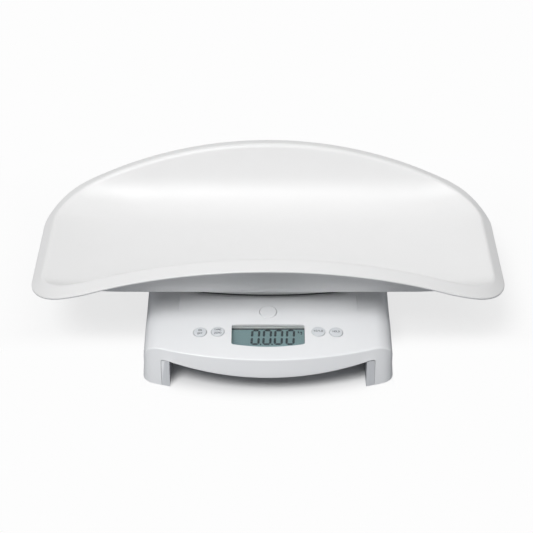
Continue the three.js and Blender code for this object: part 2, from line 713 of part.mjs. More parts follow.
function topCover() {
  const under = deckHeight - coverWall;
  const posts = coverBossPlaces.map(([x, y]) => cut(
    solid(rod(coverBossRadius, housingFloor + housingThick + gap, topHeight(x, y) - 1.5, x, y, 12)),
    solid(rod(screwRadius + gap, housingFloor, coverScrewTop + gap, x, y, 8)),
  ));
  const guideFoot = slideLow - guideWall;
  const guides = [-1, 1].flatMap((side) => {
    const [near, far] = [side * channelHalf, side * (channelHalf + guideWall)];
    return [
      solid(block(near, far, -guideFront, guideBack, guideFoot, under + 1)),
      solid(block(near - side * guideLip, near + side, -guideFront, guideBack, guideFoot, slideLow - gap)),
    ];
  });
  const cup = solid(rod(cupRadius, cupFloor, deckHeight, 0, -releasePlace, 20));
  const [postX, postY] = [boardLength / 2 - 4, boardDepth / 2 - 5];
  const boardPosts = [-1, 1].flatMap((side) => [-1, 1].map((end) =>
    placed(rod(3, -boardTop + gap, 0, side * postX, end * postY, 12), displayFrame)));
  const bezelPostX = windowHalf + lensLap + gap + postRadius;
  const bezelPosts = [-1, 1].map((side) =>
    placed(rod(postRadius, -bezelTop + gap, 0, side * bezelPostX, 0, 10), displayFrame));
  const room = platformHalf - 4;
  const hollow = solid(block(-room, room, -deckEdge + 2, traySeatFront + 10, under - 8, under));
  const fittings = join(...posts, ...guides, cup, ...boardPosts, ...bezelPosts);
  const body = join(cut(coverShell(), hollow), fittings.intersect(dome(1, coverWall / 2, true)));

  const above = deckHeight + 10;
  const arch = solid(frontSlab(archShape(bandFloor), -baseFront - 5, -baseFront + legLength + 4, 10));
  const backArch = solid(block(-legInner, legInner, baseBack - 20, baseBack + 5, -1, skirtFloor));
  const sideFront = cornerY + legLength - 8;
  const sides = solid(block(-beyond, beyond, sideFront, baseBack - legLength, -1, skirtFloor));
  const opening = placed(plate(windowShape(0), -coverWall - 3, 5, 6), displayFrame);
  const keyHoles = keyPlaces.map((x) =>
    placed(rod(keyRadius + gap, -coverWall - 3, 5, 0, 0, 20), panelFrame(x, -keyRow)));
  const holeRadius = releaseRadius + runningGap;
  const buttonHole = solid(rod(holeRadius, cupFloor + cupThick, above, 0, -releasePlace, 24));
  const [stemNear, stemFar] = [-stemFront - runningGap, -stemBack + runningGap];
  const stemWide = stemHalf + runningGap;
  const stemHole = solid(block(-stemWide, stemWide, stemNear, stemFar, cupFloor - 9, above));
  const slotHalf = tongueThick / 2 + 1;
  const slots = tonguePlaces.map((y) =>
    solid(block(-tongueHalf - 1, tongueHalf + 1, y - slotHalf, y + slotHalf, under - 5, above)));
  return cut(body, arch, backArch, sides, opening, ...keyHoles, buttonHole, stemHole, ...slots);
}

add('top_cover', topCover(), materials.coverPlastic);

// Bottom housing: floor, stepped up under the panel, rim walls, foot blocks, battery bay and rails

const rimInset = coverWall + gap;
const rimWall = 2.2;
const blockInner = halfBase - footBlockWidth;
const footX = halfBase - footSide;
const boardTilt = displayFrame.rotation.x;
const boardDrop = (boardTop + boardThick) * Math.cos(boardTilt) + (boardDepth / 2) * Math.sin(boardTilt);
const shelfTop = displayFrame.position.z - boardDrop - 2.4;
const frontFloor = shelfTop - shelfThick;
const stepY = -windowFar + 8.3;
const footFrontY = cornerY + footInset - 10;
const footBackY = baseBack - footInset;
const footPlaces = {
  front_left: [-footX, footFrontY],
  front_right: [footX, footFrontY],
  rear_left: [-footX, footBackY],
  rear_right: [footX, footBackY],
};
const pocketHalf = 12;
const pocketLength = 15;
const bayHalf = (cellCount * 2 * cellRadius + (cellCount - 1) * gap) / 2 + 1;
const bayBack = bayFront + cellLength + cellNub + 4.6;
const doorTop = housingFloor - gap;
const cellAxis = doorTop + gap + cellRadius;
const bayTop = cellAxis + cellRadius + 2 * gap;
const cellRoof = housingFloor + housingThick;
const doorHalf = bayHalf + 2;
const railThick = 1.4;

function rimSolid(z0, z1) {
  const inner = rimInset + rimWall;
  const outside = solid(ringSkin([footPrint(rimInset, z0, true), footPrint(rimInset, z1, true)]));
  const inside = solid(ringSkin([footPrint(inner, z0 - 1, true), footPrint(inner, z1 + 1, true)]));
  return cut(outside, inside);
}

// In the two front notches the foot blocks come forward, almost level with the legs.
function bottomHousing() {
  const inside = solid(ringSkin([footPrint(rimInset, 0, true), footPrint(rimInset, deckHeight, true)]));
  const within = (...sides) => inside.intersect(solid(block(...sides)));
  const riserBack = stepY + shelfThick;
  const floor = within(-beyond, beyond, stepY, beyond, housingFloor, cellRoof);
  const shelf = within(-beyond, beyond, -beyond, riserBack, frontFloor, shelfTop);
  const riser = within(-beyond, beyond, stepY, riserBack, housingFloor, shelfTop);
  const rearHalf = solid(block(-beyond, beyond, stepY, beyond, 0, deckHeight));
  const rim = rimSolid(housingFloor, shelfTop).intersect(rearHalf);
  const blocks = Object.values(footPlaces).map(([x, y]) => {
    const side = Math.sign(x);
    const [y0, y1] = y > 0 ? [baseBack - legLength + 2, beyond] : [-beyond, -baseFront + legLength + 22];
    return within(side * blockInner, side * beyond, y0, y1, legFloor, shelfTop);
  });
  const flush = solid(ringSkin([
    footPrint(notchSetback - skirtFlare, legFloor),
    footPrint(notchSetback, notchHeight),
  ]));
  const noseBack = -baseFront + legLength;
  const noses = [-1, 1].map((side) => {
    const [near, far] = [side * blockInner, side * (legInner - gap)];
    return flush.intersect(solid(block(near, far, -beyond, noseBack, legFloor, notchHeight - 2)));
  });
  const bayWide = bayHalf + bayRoof;
  const [bayNear, bayFar] = [bayFront - bayRoof, bayBack + bayRoof];
  const bay = solid(block(-bayWide, bayWide, bayNear, bayFar, housingFloor, bayTop + bayRoof));
  const body = join(floor, shelf, riser, rim, ...blocks, ...noses, bay);

  const pockets = Object.values(footPlaces).map(([x, y]) =>
    solid(block(x - pocketHalf, x + pocketHalf, y - pocketLength, y + pocketLength, -1, cellRoof)));
  const bayHollow = solid(block(-bayHalf, bayHalf, bayFront, bayBack, housingFloor - 1, bayTop));
  const bossHoles = coverBossPlaces.flatMap(([x, y]) => [
    solid(rod(screwRadius + gap, housingFloor - 1, housingFloor + 6, x, y, 10)),
    solid(rod(coverBossRadius + gap, cellRoof, deckHeight, x, y, 14)),
  ]);
  const rails = [-1, 1].flatMap((side) => {
    const near = side * (doorHalf + runningGap);
    const far = near + side * 3;
    const lip = side * (doorHalf - 2);
    const lipTop = doorTop - doorThick - gap;
    const railFoot = lipTop - railThick;
    return [
      solid(block(near, far, bayNear, bayFar, railFoot, housingFloor + 1)),
      solid(block(lip, far, bayNear, bayFar, railFoot, lipTop)),
    ];
  });
  const headRooms = coverBossPlaces.map(([x, y]) =>
    solid(rod(screwHead + gap, housingFloor - 1, housingFloor + 1, x, y, 16)));
  return cut(join(cut(body, ...pockets, bayHollow, ...bossHoles), ...rails), ...headRooms);
}

add('bottom_housing', bottomHousing(), materials.housingPlastic);

coverBossPlaces.forEach(([x, y], i) => {
  const low = housingFloor + 1 - gap - headHigh;
  const piece = add('housing_screw_' + (i + 1), screw(coverScrewTop - low), materials.steel);
  piece.position.set(x, y, low);
});

// Display stack and main board, square to the panel

assembly.add(displayFrame);

const lensShape = plate(windowShape(lensLap), -lensTop - lensThick, -lensTop, 6);
add('display_lens', lensShape, materials.clearPlastic, displayFrame);

const lcdHalf = windowHalf + 0.5;
const lcdReach = windowDepth / 2 - 0.5;
const bezelEar = lensLap + gap + 2 * postRadius;
const bezelSkirt = 1.4;

function displayBezel() {
  const under = -bezelTop - bezelThick;
  const [wide, deep] = [windowHalf + bezelEar, windowDepth / 2 + 3];
  const outer = plate(roundedRectangle(-wide, wide, -deep, deep, 3), under, -bezelTop);
  const [roomHalf, roomReach] = [lcdHalf + gap, lcdReach + gap];
  const [skirtHalf, skirtReach] = [roomHalf + bezelSkirt, roomReach + bezelSkirt];
  const skirt = block(-skirtHalf, skirtHalf, -skirtReach, skirtReach, -boardTop + gap, under + 0.5);
  const hollow = block(-roomHalf, roomHalf, -roomReach, roomReach, -boardTop - 1, under);
  const [sightHalf, sightReach] = [windowHalf - 1.5, windowDepth / 2 - 1.2];
  const sightShape = roundedRectangle(-sightHalf, sightHalf, -sightReach, sightReach, 1);
  const sight = plate(sightShape, under - 1, -bezelTop + 1);
  return cut(join(solid(outer), solid(skirt)), solid(hollow), solid(sight));
}

add('display_bezel', displayBezel(), materials.trayPlastic, displayFrame);

const lcdBlock = block(-lcdHalf, lcdHalf, -lcdReach, lcdReach, -lcdTop - lcdThick, -lcdTop);
add('lcd_panel', lcdBlock, materials.displayGlass, displayFrame);

const [sheetHalf, sheetReach] = [lcdHalf - 1, lcdReach - 1];
const sheetLow = -reflectorTop - reflectorThick;
const sheet = block(-sheetHalf, sheetHalf, -sheetReach, sheetReach, sheetLow, -reflectorTop);
add('lcd_reflector', sheet, materials.seatPlastic, displayFrame);

const boardUnder = -boardTop - boardThick;
const boardShape = roundedRectangle(-boardLength / 2, boardLength / 2, -boardDepth / 2, boardDepth / 2, 2);
add('main_board', plate(boardShape, boardUnder, -boardTop, 2), materials.boardGreen, displayFrame);

const [chipHalf, chipThick] = [7, 1.6];
const chipTop = boardUnder - gap;
const chip = block(-chipHalf, chipHalf, -chipHalf, chipHalf, chipTop - chipThick, chipTop);
add('controller_chip', chip, materials.blackPlastic, displayFrame);

// Keys, from left to right, each over its own switch

const keyNames = ['key_far_left', 'key_near_left', 'key_near_right', 'key_far_right'];
const switchHigh = 3.6;
const switchTop = boardTop - gap - switchHigh;
const keyFlange = 1.2;
const keyStem = 2.2;

// The panel's two slopes at a place, seen from the display's own frame.
function panelSlant(x, y) {
  const spot = onDisplay(x, y);
  const aside = onDisplay(x + 1, y).sub(spot);
  const behind = onDisplay(x, y + 1).sub(spot);
  const up = behind.z / behind.y;
  return new THREE.Matrix4().makeShear(0, aside.z - up * aside.y, 0, up, 0, 0);
}

// A key stands on the panel; the panel lies sink below the display's own plane there.
function keyCap(sink) {
  const stemFoot = sink - switchTop + keyTravel + gap / 2;
  const flangeTop = -coverWall - gap;
  const flangeFoot = flangeTop - keyFlange;
  const wide = keyRadius + keyFlange;
  return turned([[0, stemFoot], [keyStem, stemFoot], [keyStem, flangeFoot], [wide, flangeFoot],
    [wide, flangeTop], [keyRadius, flangeTop], [keyRadius, keyProud - 0.5], [keyRadius - 0.6, keyProud],
    [0, keyProud + 0.3]]);
}

function keySwitch(x, y) {
  const half = switchSide / 2;
  const body = block(x - half, x + half, y - half, y + half, -boardTop + gap, -switchTop - 0.6);
  return join(solid(body), solid(rod(1.7, -switchTop - 1, -switchTop, x, y, 12)));
}

keyPlaces.forEach((x, i) => {
  const frame = panelFrame(x, -keyRow);
  const spot = onDisplay(x, -keyRow);
  assembly.add(frame);
  const cap = keyCap(-spot.z).applyMatrix4(panelSlant(x, -keyRow));
  add(keyNames[i], cap, materials.keyPlastic, frame);
  const switchBody = keySwitch(x, spot.y);
  add(keyNames[i].replace('key', 'key_switch'), switchBody, materials.blackPlastic, displayFrame);
});

// Release button, its spring and the latch slide that it drives through a sloped face

const stemFoot = slideLow - 1;
const wedgeTop = stemFoot + (stemFront - stemBack - 1);
const capThick = 2.4;
const capRound = 0.7;
const stemFall = stemFront - releasePlace;
const springLow = cupFloor + cupThick + gap;

// The cap stands upright in its hole, and its top is slanted like the panel round it.
function releaseButton() {
  const profile = [[0, -capThick], [releaseRadius, -capThick], [releaseRadius, -0.1],
    [releaseRadius - capRound, 0.5], [0, 0.9]];
  const slant = new THREE.Matrix4().makeShear(0, 0, 0, buttonFall, 0, 0);
  const upright = turned(profile, 24).applyMatrix4(slant);
  const cap = solid(upright.translate(0, -releasePlace, buttonHeight));
  const outline = [[-stemFront, stemFoot], [-stemFront + 1, stemFoot], [-stemBack, wedgeTop],
    [-stemBack, buttonHeight - 1], [-stemFront, buttonHeight - 1 - buttonFall * stemFall]];
  return join(cap, solid(slab(outline, -stemHalf, stemHalf)));
}

add('release_button', releaseButton(), materials.coverPlastic);

// A flat helical spring round the stem, with closed ends.
function releaseSpring() {
  const turns = 2;
  const steps = 10;
  const wire = 0.45;
  const radius = 7.6;
  const high = buttonHeight - capThick - buttonFall * (radius + wire) - gap - springLow;
  const points = [];
  for (let i = 0; i <= turns * steps; i += 1) {
    const a = (i / steps) * 2 * Math.PI;
    const height = springLow + wire + ((high - 2 * wire) * i) / (turns * steps);
    points.push(new THREE.Vector3(radius * Math.cos(a), radius * Math.sin(a) - releasePlace, height));
  }
  const path = new THREE.CatmullRomCurve3(points);
  const ring = new THREE.Shape();
  ring.absarc(0, 0, wire, 0, 2 * Math.PI);
  const settings = { steps: turns * steps, extrudePath: path, curveSegments: 3, bevelEnabled: false };
  return new THREE.ExtrudeGeometry(ring, settings);
}

add('release_spring', releaseSpring(), materials.steel);

function latchSlide() {
  const low = slideLow;
  const high = slideLow + slideThick;
  const wide = channelHalf - runningGap;
  const bar = solid(block(-wide, wide, -stemBack + 3, guideBack - 4, low, high));
  const noseTop = wedgeTop - 1.5;
  const noseBack = -stemBack + 4;
  const slopeAt = (z) => -stemFront + 1 + runningGap + (z - stemFoot);
  const outline = [[slopeAt(low), low], [noseBack, low], [noseBack, noseTop], [slopeAt(noseTop), noseTop]];
  const nose = solid(slab(outline, -stemHalf, stemHalf));
  const hookHalf = tongueHalf - 1;
  const hookTop = catchHigh - 2 * gap;
  const hooks = tonguePlaces.map((y) => {
    const back = y + tongueThick / 2;
    const post = block(-hookHalf, hookHalf, back + 2 * gap, back + 4.2, high - 0.5, hookTop);
    const hook = block(-hookHalf, hookHalf, back - hookReach, back + 1, catchLow + gap, hookTop);
    return join(solid(post), solid(hook));
  });
  return join(bar, nose, ...hooks);
}

add('latch_slide', latchSlide(), materials.housingPlastic);

// Load cells, carriers and feet, one set in each foot block

const cellPlate = 2.4;
const slitPlace = 7.2;
const slitHalf = 0.8;

function loadCell() {
  const [wide, deep] = [pocketHalf - 0.5, pocketLength - 1];
  const frame = plate(roundedRectangle(-wide, wide, -deep, deep, 2), 0, cellPlate, 2);
  const slits = [-slitPlace, slitPlace].map((x) =>
    solid(block(x - slitHalf, x + slitHalf, -deep + 4, deep - 4, -1, cellPlate + 1)));
  return cut(solid(frame), ...slits);
}

function footCarrier(top) {
  const low = footHeight + gap;
  return turned([[0, low], [footRadius, low], [footRadius, low + 2], [5, low + 3.5], [4, top], [0, top]]);
}

function foot() {
  const edge = 1;
  return turned([[0, 0], [footRadius - edge, 0], [footRadius, edge], [footRadius, footHeight],
    [0, footHeight]]);
}

for (const [corner, [x, y]] of Object.entries(footPlaces)) {
  const cell = add('load_cell_' + corner, loadCell(), materials.steel);
  const cellLow = cellRoof - gap - cellPlate;
  cell.position.set(x, y, cellLow);
  const carrier = add('foot_carrier_' + corner, footCarrier(cellLow - gap), materials.housingPlastic);
  carrier.position.set(x, y, 0);
  const pad = add('foot_' + corner, foot(), materials.rubber);
  pad.position.set(x, y, 0);
}

// Battery bay: cells side by side, a contact plate at each end and a sliding door below

const contactThick = 1.2;
const cellStart = bayFront + gap + contactThick + 0.6;

const cellReach = cellLength + cellNub;

function batteryCell() {
  const edge = 0.8;
  const nub = 2.5;
  return turned([[0, 0], [cellRadius, 0], [cellRadius, cellLength - edge], [cellRadius - edge, cellLength],
    [nub, cellLength], [nub, cellReach], [0, cellReach]], 14);
}

for (let i = 0; i < cellCount; i += 1) {
  const x = (i - (cellCount - 1) / 2) * (2 * cellRadius + gap);
  const cell = add('cell_' + (i + 1), batteryCell(), materials.cellJacket);
  const flipped = i % 2 === 1;
  cell.rotation.x = flipped ? Math.PI / 2 : -Math.PI / 2;
  cell.position.set(x, flipped ? cellStart + cellReach : cellStart, cellAxis);
}

function contactPlate(y0) {
  const half = bayHalf - gap;
  return block(-half, half, y0, y0 + contactThick, housingFloor + 1, bayTop - gap);
}

add('contact_plate_front', contactPlate(bayFront + gap), materials.steel);
add('contact_plate_rear', contactPlate(bayBack - gap - contactThick), materials.steel);

function batteryDoor() {
  const low = doorTop - doorThick;
  const panel = solid(block(-doorHalf, doorHalf, bayFront - bayRoof, bayBack + 1, low, doorTop));
  const grips = [12, 9, 6].map((back) =>
    solid(block(-12, 12, bayBack - back, bayBack - back + 1.2, low - 1, low + 0.8)));
  return cut(panel, ...grips);
}

add('battery_door', batteryDoor(), materials.housingPlastic);

export default assembly;
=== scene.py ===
import json
import math

import bmesh
import bpy
import numpy as np
from mathutils import Matrix, Vector

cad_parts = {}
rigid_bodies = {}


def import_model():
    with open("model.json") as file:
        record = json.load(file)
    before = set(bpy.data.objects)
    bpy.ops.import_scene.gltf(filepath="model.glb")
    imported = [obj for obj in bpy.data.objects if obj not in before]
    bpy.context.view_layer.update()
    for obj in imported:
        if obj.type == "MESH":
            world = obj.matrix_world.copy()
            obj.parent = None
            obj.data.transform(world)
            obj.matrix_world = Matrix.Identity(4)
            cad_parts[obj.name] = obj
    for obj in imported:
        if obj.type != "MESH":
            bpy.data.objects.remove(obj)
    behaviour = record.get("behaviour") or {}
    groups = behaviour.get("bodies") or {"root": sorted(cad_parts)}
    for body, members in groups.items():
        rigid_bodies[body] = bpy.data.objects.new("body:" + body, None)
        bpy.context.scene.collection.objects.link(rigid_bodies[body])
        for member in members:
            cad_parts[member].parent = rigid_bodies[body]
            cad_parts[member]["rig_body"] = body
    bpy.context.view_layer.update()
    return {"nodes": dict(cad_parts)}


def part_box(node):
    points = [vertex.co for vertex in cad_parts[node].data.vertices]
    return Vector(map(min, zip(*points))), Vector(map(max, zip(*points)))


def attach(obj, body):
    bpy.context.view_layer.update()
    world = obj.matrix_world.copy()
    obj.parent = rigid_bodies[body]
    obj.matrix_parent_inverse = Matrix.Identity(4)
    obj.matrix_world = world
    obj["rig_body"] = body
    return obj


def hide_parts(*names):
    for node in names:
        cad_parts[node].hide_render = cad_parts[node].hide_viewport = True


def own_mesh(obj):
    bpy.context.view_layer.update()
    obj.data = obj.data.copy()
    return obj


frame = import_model()

MM = 0.001
# Edges that turn by more degrees than these stay sharp.
SHARP, TRAY_SHARP, COVER_SHARP, BLOCK_SHARP = 35, 50, 32, 20


def middle_y(node):
    """The Y of the middle of a node's box, in millimetres."""
    low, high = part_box(node)
    return (low.y + high.y) / 2 / MM


# Meshes


def make_object(name, points, faces, material, smooth=True, sharp=SHARP):
    """An object at the origin from points in millimetres and a list of faces."""
    mesh = bpy.data.meshes.new(name)
    mesh.from_pydata((np.asarray(points) * MM).tolist(), [], faces)
    mesh.validate()
    mesh.update()
    piece = bpy.data.objects.new(name, mesh)
    bpy.context.scene.collection.objects.link(piece)
    if material is not None:
        mesh.materials.append(material)
    shade(piece, smooth, sharp)
    return piece


def shade(piece, smooth=True, sharp=SHARP):
    """Smooth shading, broken where two faces meet at more than the sharp angle."""
    mesh = piece.data
    mesh.polygons.foreach_set("use_smooth", [smooth] * len(mesh.polygons))
    if smooth:
        mesh.set_sharp_from_angle(angle=math.radians(sharp))


def skin_faces(rings, count):
    """Quads between rings of equal length, listed so that the last ring is on top, and two end fans."""
    faces = []
    index = np.arange(count)
    after = (index + 1) % count
    for k in range(rings - 1):
        low = k * count
        high = low + count
        quads = np.stack([low + index, low + after, high + after, high + index], axis=1)
        faces += quads.tolist()
    first = rings * count
    last = first + 1
    top = (rings - 1) * count
    faces += [[first, b, a] for a, b in zip(index.tolist(), after.tolist())]
    faces += [[last, top + a, top + b] for a, b in zip(index.tolist(), after.tolist())]
    return faces


def skin(name, rings, material, **settings):
    """A closed body through rings of points: each ring runs counter-clockwise, from low to high."""
    rings = np.asarray(rings, float)
    levels, count = rings.shape[:2]
    ends = np.stack([rings[0].mean(axis=0), rings[-1].mean(axis=0)])
    points = np.concatenate([rings.reshape(-1, 3), ends])
    return make_object(name, points, skin_faces(levels, count), material, **settings)


def turned_rings(profile, sides=64):
    """Rings of a body turned about +Z: each [radius, height] of the profile becomes one circle."""
    profile = np.asarray(profile, float)
    turn = np.linspace(0, 2 * np.pi, sides, endpoint=False)
    circle = np.stack([np.cos(turn), np.sin(turn), np.zeros(sides)], axis=1)
    rings = circle[None] * profile[:, 0][:, None, None]
    rings[:, :, 2] = profile[:, 1][:, None]
    return rings


def box_object(name, low, high):
    """A box between two corners."""
    low, high = np.asarray(low, float), np.asarray(high, float)
    pick = np.array([[0, 0], [1, 0], [1, 1], [0, 1]])
    corners = np.stack([low, high])
    ring = np.stack([corners[pick[:, 0], 0], corners[pick[:, 1], 1]], axis=1)
    rings = [np.column_stack([ring, np.full(4, z)]) for z in (low[2], high[2])]
    return skin(name, rings, None, smooth=False)


def prism(name, outline, low, high, matrix):
    """A plate: a closed outline in X and Y drawn out along Z, then carried by a 4 by 4 matrix."""
    outline = np.asarray(outline, float)
    rings = np.stack([np.column_stack([outline, np.full(len(outline), z)]) for z in (low, high)])
    return skin(name, carried(rings, matrix), None, smooth=False)


def carried(points, matrix):
    """Points moved by a 4 by 4 matrix."""
    points = np.asarray(points, float)
    return points @ matrix[:3, :3].T + matrix[:3, 3]


def combine(piece, others, operation):
    """Joins others to a piece, or cuts them from it, and removes them."""
    for other in others:
        step = piece.modifiers.new("step", "BOOLEAN")
        step.operation = operation
        step.object = other
        step.solver = "EXACT"
        view = bpy.context.evaluated_depsgraph_get()
        result = bpy.data.meshes.new_from_object(piece.evaluated_get(view))
        piece.modifiers.clear()
        old = piece.data
        piece.data = result
        bpy.data.meshes.remove(old)
        bpy.data.objects.remove(other)
    return piece


def merged_copy(node, name, material, sharp=SHARP):
    """A copy of a node with its loose triangles sewn together, so that round faces shade smoothly."""
    mesh = frame["nodes"][node].data.copy()
    sewn = bmesh.new()
    sewn.from_mesh(mesh)
    bmesh.ops.remove_doubles(sewn, verts=sewn.verts, dist=1e-6)
    sewn.to_mesh(mesh)
    sewn.free()
    mesh.materials.clear()
    mesh.materials.append(material)
    piece = bpy.data.objects.new(name, mesh)
    bpy.context.scene.collection.objects.link(piece)
    shade(piece, sharp=sharp)
    return piece


def stand_for(piece, node, body):
    """A piece takes a node's place on its body."""
    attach(piece, body)
    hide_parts(node)
    return piece


# Materials

# The mottle of the plastics and the streaks of the steel are this far across, in millimetres.
MOTTLE, STREAK = 40.0, 0.3
PLASTIC_IOR, ACRYLIC_IOR = 1.52, 1.49
GLOSS_SPREAD = 0.04


def rgb(code):
    """A colour written as sRGB hex, in linear light."""
    values = np.array([int(code[i:i + 2], 16) for i in (1, 3, 5)]) / 255
    linear = np.where(values <= 0.04045, values / 12.92, ((values + 0.055) / 1.055) ** 2.4)
    return (*linear.tolist(), 1.0)


def add_node(tree, kind, settings=None, **links):
    """Adds a shader node, sets its fields and inputs, and links named inputs from other sockets."""
    node = tree.nodes.new(kind)
    for key, value in (settings or {}).items():
        if hasattr(node, key):
            setattr(node, key, value)
        else:
            node.inputs[key].default_value = value
    for key, socket in links.items():
        tree.links.new(socket, node.inputs[key.replace("_", " ")])
    return node


def new_material(name):
    """An empty node material with its output."""
    material = bpy.data.materials.new(name)
    material.use_nodes = True
    material.node_tree.nodes.clear()
    return material, material.node_tree


def moulded_plastic(name, colour, tint, roughness, grain=0.5, depth=0.004):
    """Injection-moulded ABS: an even colour with a faint mottle and the fine grain of the tool.

    The grain is grain millimetres across and depth millimetres deep; the mottle is MOTTLE across.
    """
    material, tree = new_material(name)
    where = add_node(tree, "ShaderNodeTexCoord")
    mottle = add_node(tree, "ShaderNodeTexNoise", {"Scale": 1 / (MOTTLE * MM), "Detail": 3.0},
                      Vector=where.outputs["Object"])
    colours = add_node(tree, "ShaderNodeMix", {"data_type": "RGBA"}, Factor=mottle.outputs["Fac"])
    colours.inputs[6].default_value = rgb(colour)
    colours.inputs[7].default_value = rgb(tint)
    fine = add_node(tree, "ShaderNodeTexNoise", {"Scale": 1 / (grain * MM), "Detail": 2.0},
                    Vector=where.outputs["Object"])
    gloss = add_node(tree, "ShaderNodeMapRange",
                     {"To Min": roughness - GLOSS_SPREAD, "To Max": roughness + GLOSS_SPREAD},
                     Value=mottle.outputs["Fac"])
    bump = add_node(tree, "ShaderNodeBump", {"Strength": 1.0, "Distance": depth * MM},
                    Height=fine.outputs["Fac"])
    shader = add_node(tree, "ShaderNodeBsdfPrincipled", {"IOR": PLASTIC_IOR},
                      Base_Color=colours.outputs[2], Roughness=gloss.outputs[0], Normal=bump.outputs[0])
    add_node(tree, "ShaderNodeOutputMaterial", Surface=shader.outputs[0])
    return material


def clear_acrylic(name):
    """Cast acrylic window: clear, glossy, with a trace of grey where light leaves it."""
    material, tree = new_material(name)
    where = add_node(tree, "ShaderNodeTexCoord")
    haze = add_node(tree, "ShaderNodeTexNoise", {"Scale": 60.0, "Detail": 2.0},
                    Vector=where.outputs["Object"])
    gloss = add_node(tree, "ShaderNodeMapRange", {"To Min": 0.02, "To Max": 0.05}, Value=haze.outputs["Fac"])
    shader = add_node(tree, "ShaderNodeBsdfPrincipled",
                      {"Base Color": rgb("#F4F7F7"), "IOR": ACRYLIC_IOR, "Transmission Weight": 1.0},
                      Roughness=gloss.outputs[0])
    add_node(tree, "ShaderNodeOutputMaterial", Surface=shader.outputs[0])
    return material


def metal(name, colour, roughness):
    """Plated or bright rolled steel: fine streaks left by rolling, STREAK millimetres apart."""
    material, tree = new_material(name)
    where = add_node(tree, "ShaderNodeTexCoord")
    stretch = add_node(tree, "ShaderNodeMapping", {"Scale": (1.0, 0.08, 1.0)}, Vector=where.outputs["Object"])
    streaks = add_node(tree, "ShaderNodeTexNoise", {"Scale": 1 / (STREAK * MM), "Detail": 2.0},
                       Vector=stretch.outputs[0])
    gloss = add_node(tree, "ShaderNodeMapRange", {"To Min": roughness - 0.06, "To Max": roughness + 0.1},
                     Value=streaks.outputs["Fac"])
    bump = add_node(tree, "ShaderNodeBump", {"Strength": 0.6, "Distance": 0.004 * MM},
                    Height=streaks.outputs["Fac"])
    shader = add_node(tree, "ShaderNodeBsdfPrincipled", {"Base Color": rgb(colour), "Metallic": 1.0},
                      Roughness=gloss.outputs[0], Normal=bump.outputs[0])
    add_node(tree, "ShaderNodeOutputMaterial", Surface=shader.outputs[0])
    return material


TRAY_ABS = moulded_plastic("white_abs_satin_tray", "#E8E8E8", "#E6E6E6", 0.42)
COVER_ABS = moulded_plastic("white_abs_fine_grain_cover", "#F3F4F5", "#F0F1F3", 0.42, grain=0.4)
SEAT_ABS = moulded_plastic("light_grey_abs_seat", "#E3E5E5", "#DFE1E1", 0.45)
HOUSING_ABS = moulded_plastic("light_grey_abs_housing", "#DADCDF", "#D6D8DB", 0.45)
KEY_ABS = moulded_plastic("pale_grey_abs_keys", "#DDE0E3", "#D9DCE0", 0.35, grain=0.3, depth=0.002)
BEZEL_ABS = moulded_plastic("white_abs_bezel", "#F2F3F3", "#EEEFEF", 0.4)
BLACK_NYLON = moulded_plastic("black_glass_filled_nylon", "#17181A", "#1C1D1F", 0.5, grain=0.2)
GREY_ACETAL = moulded_plastic("grey_acetal_slide", "#C4C6C8", "#BFC1C3", 0.3)
# Dark rubber for the feet; the same colour also paints the shadow strip under the seat's front edge.
DARK_RUBBER_AND_PAINTED_SHADE = moulded_plastic("dark_grey_rubber_and_painted_shade", "#3A3C3E", "#434547", 0.8, grain=0.25, depth=0.01)
BOARD_GREEN = moulded_plastic("green_glass_fibre_laminate", "#1F5B36", "#26683F", 0.4, grain=0.15)
LCD_GLASS = moulded_plastic("lcd_glass_grey_green", "#97B4B7", "#93B1B4", 0.3, grain=0.2, depth=0.0005)
LCD_INK = moulded_plastic("lcd_segments_dark", "#10202B", "#142430", 0.35, grain=0.2, depth=0.0005)
PRINT_GREY = moulded_plastic("grey_pad_print", "#4C525A", "#545A61", 0.5, grain=0.2, depth=0.0005)
CELL_SLEEVE = moulded_plastic("printed_cell_sleeve", "#22364C", "#283D55", 0.3, grain=0.2, depth=0.001)
CLEAR_ACRYLIC = clear_acrylic("clear_acrylic_window")
ZINC_STEEL = metal("zinc_plated_steel", "#C3C6C9", 0.32)
BRIGHT_STEEL = metal("bright_spring_steel", "#D0D2D4", 0.22)

# The tray: a trough with arched long rims and a flange all round, in millimetres

TRAY_LENGTH = 549.0
DECK = 67.5
FLOOR_HEIGHT = DECK + 11.7
RIM_HEIGHT = FLOOR_HEIGHT + 79
RIM_FALL = 79 - 13.3
MOUTH_HALF = 134.2
WALL = 3.0
SIDE_FLANGE, END_FLANGE = 20.7, 13.5
SIDE_DROP, END_DROP = 5.6, 11.0
WALL_SLOPE = math.radians(69)
SIDE_RADIUS = 60.0
FLOOR_SLOPE = math.radians(5.5)
END_RISE, RISE_FADE = 5.3, 20.0
RIM_ROUND = 4.5
CORNER_START, CORNER_LEAD, CORNER_TAIL, END_STRAIGHT = 61.0, 35.0, 32.0, 62.0
SIDE_STEPS, CORNER_STEPS, END_STEPS, RIM_STEPS = 90, 48, 24, 8
END_FACING, LACK_POWER, DROP_POWER = 0.4, 5, 8
MOUTH_END = TRAY_LENGTH / 2 - END_FLANGE
RIM_ARC = (MOUTH_END ** 2 + RIM_FALL ** 2) / (2 * RIM_FALL)
TRAY_Y = middle_y("tray")


def straight_wall():
    """How deep the straight wall reaches before the side arc takes over."""
    lift = math.tan(FLOOR_SLOPE / 2)
    high = SIDE_RADIUS * (math.cos(FLOOR_SLOPE) - math.cos(WALL_SLOPE))
    wide = SIDE_RADIUS * (math.sin(WALL_SLOPE) - math.sin(FLOOR_SLOPE))
    return (RIM_HEIGHT - FLOOR_HEIGHT - high - (MOUTH_HALF - wide) * lift) / (1 - lift / math.tan(WALL_SLOPE))


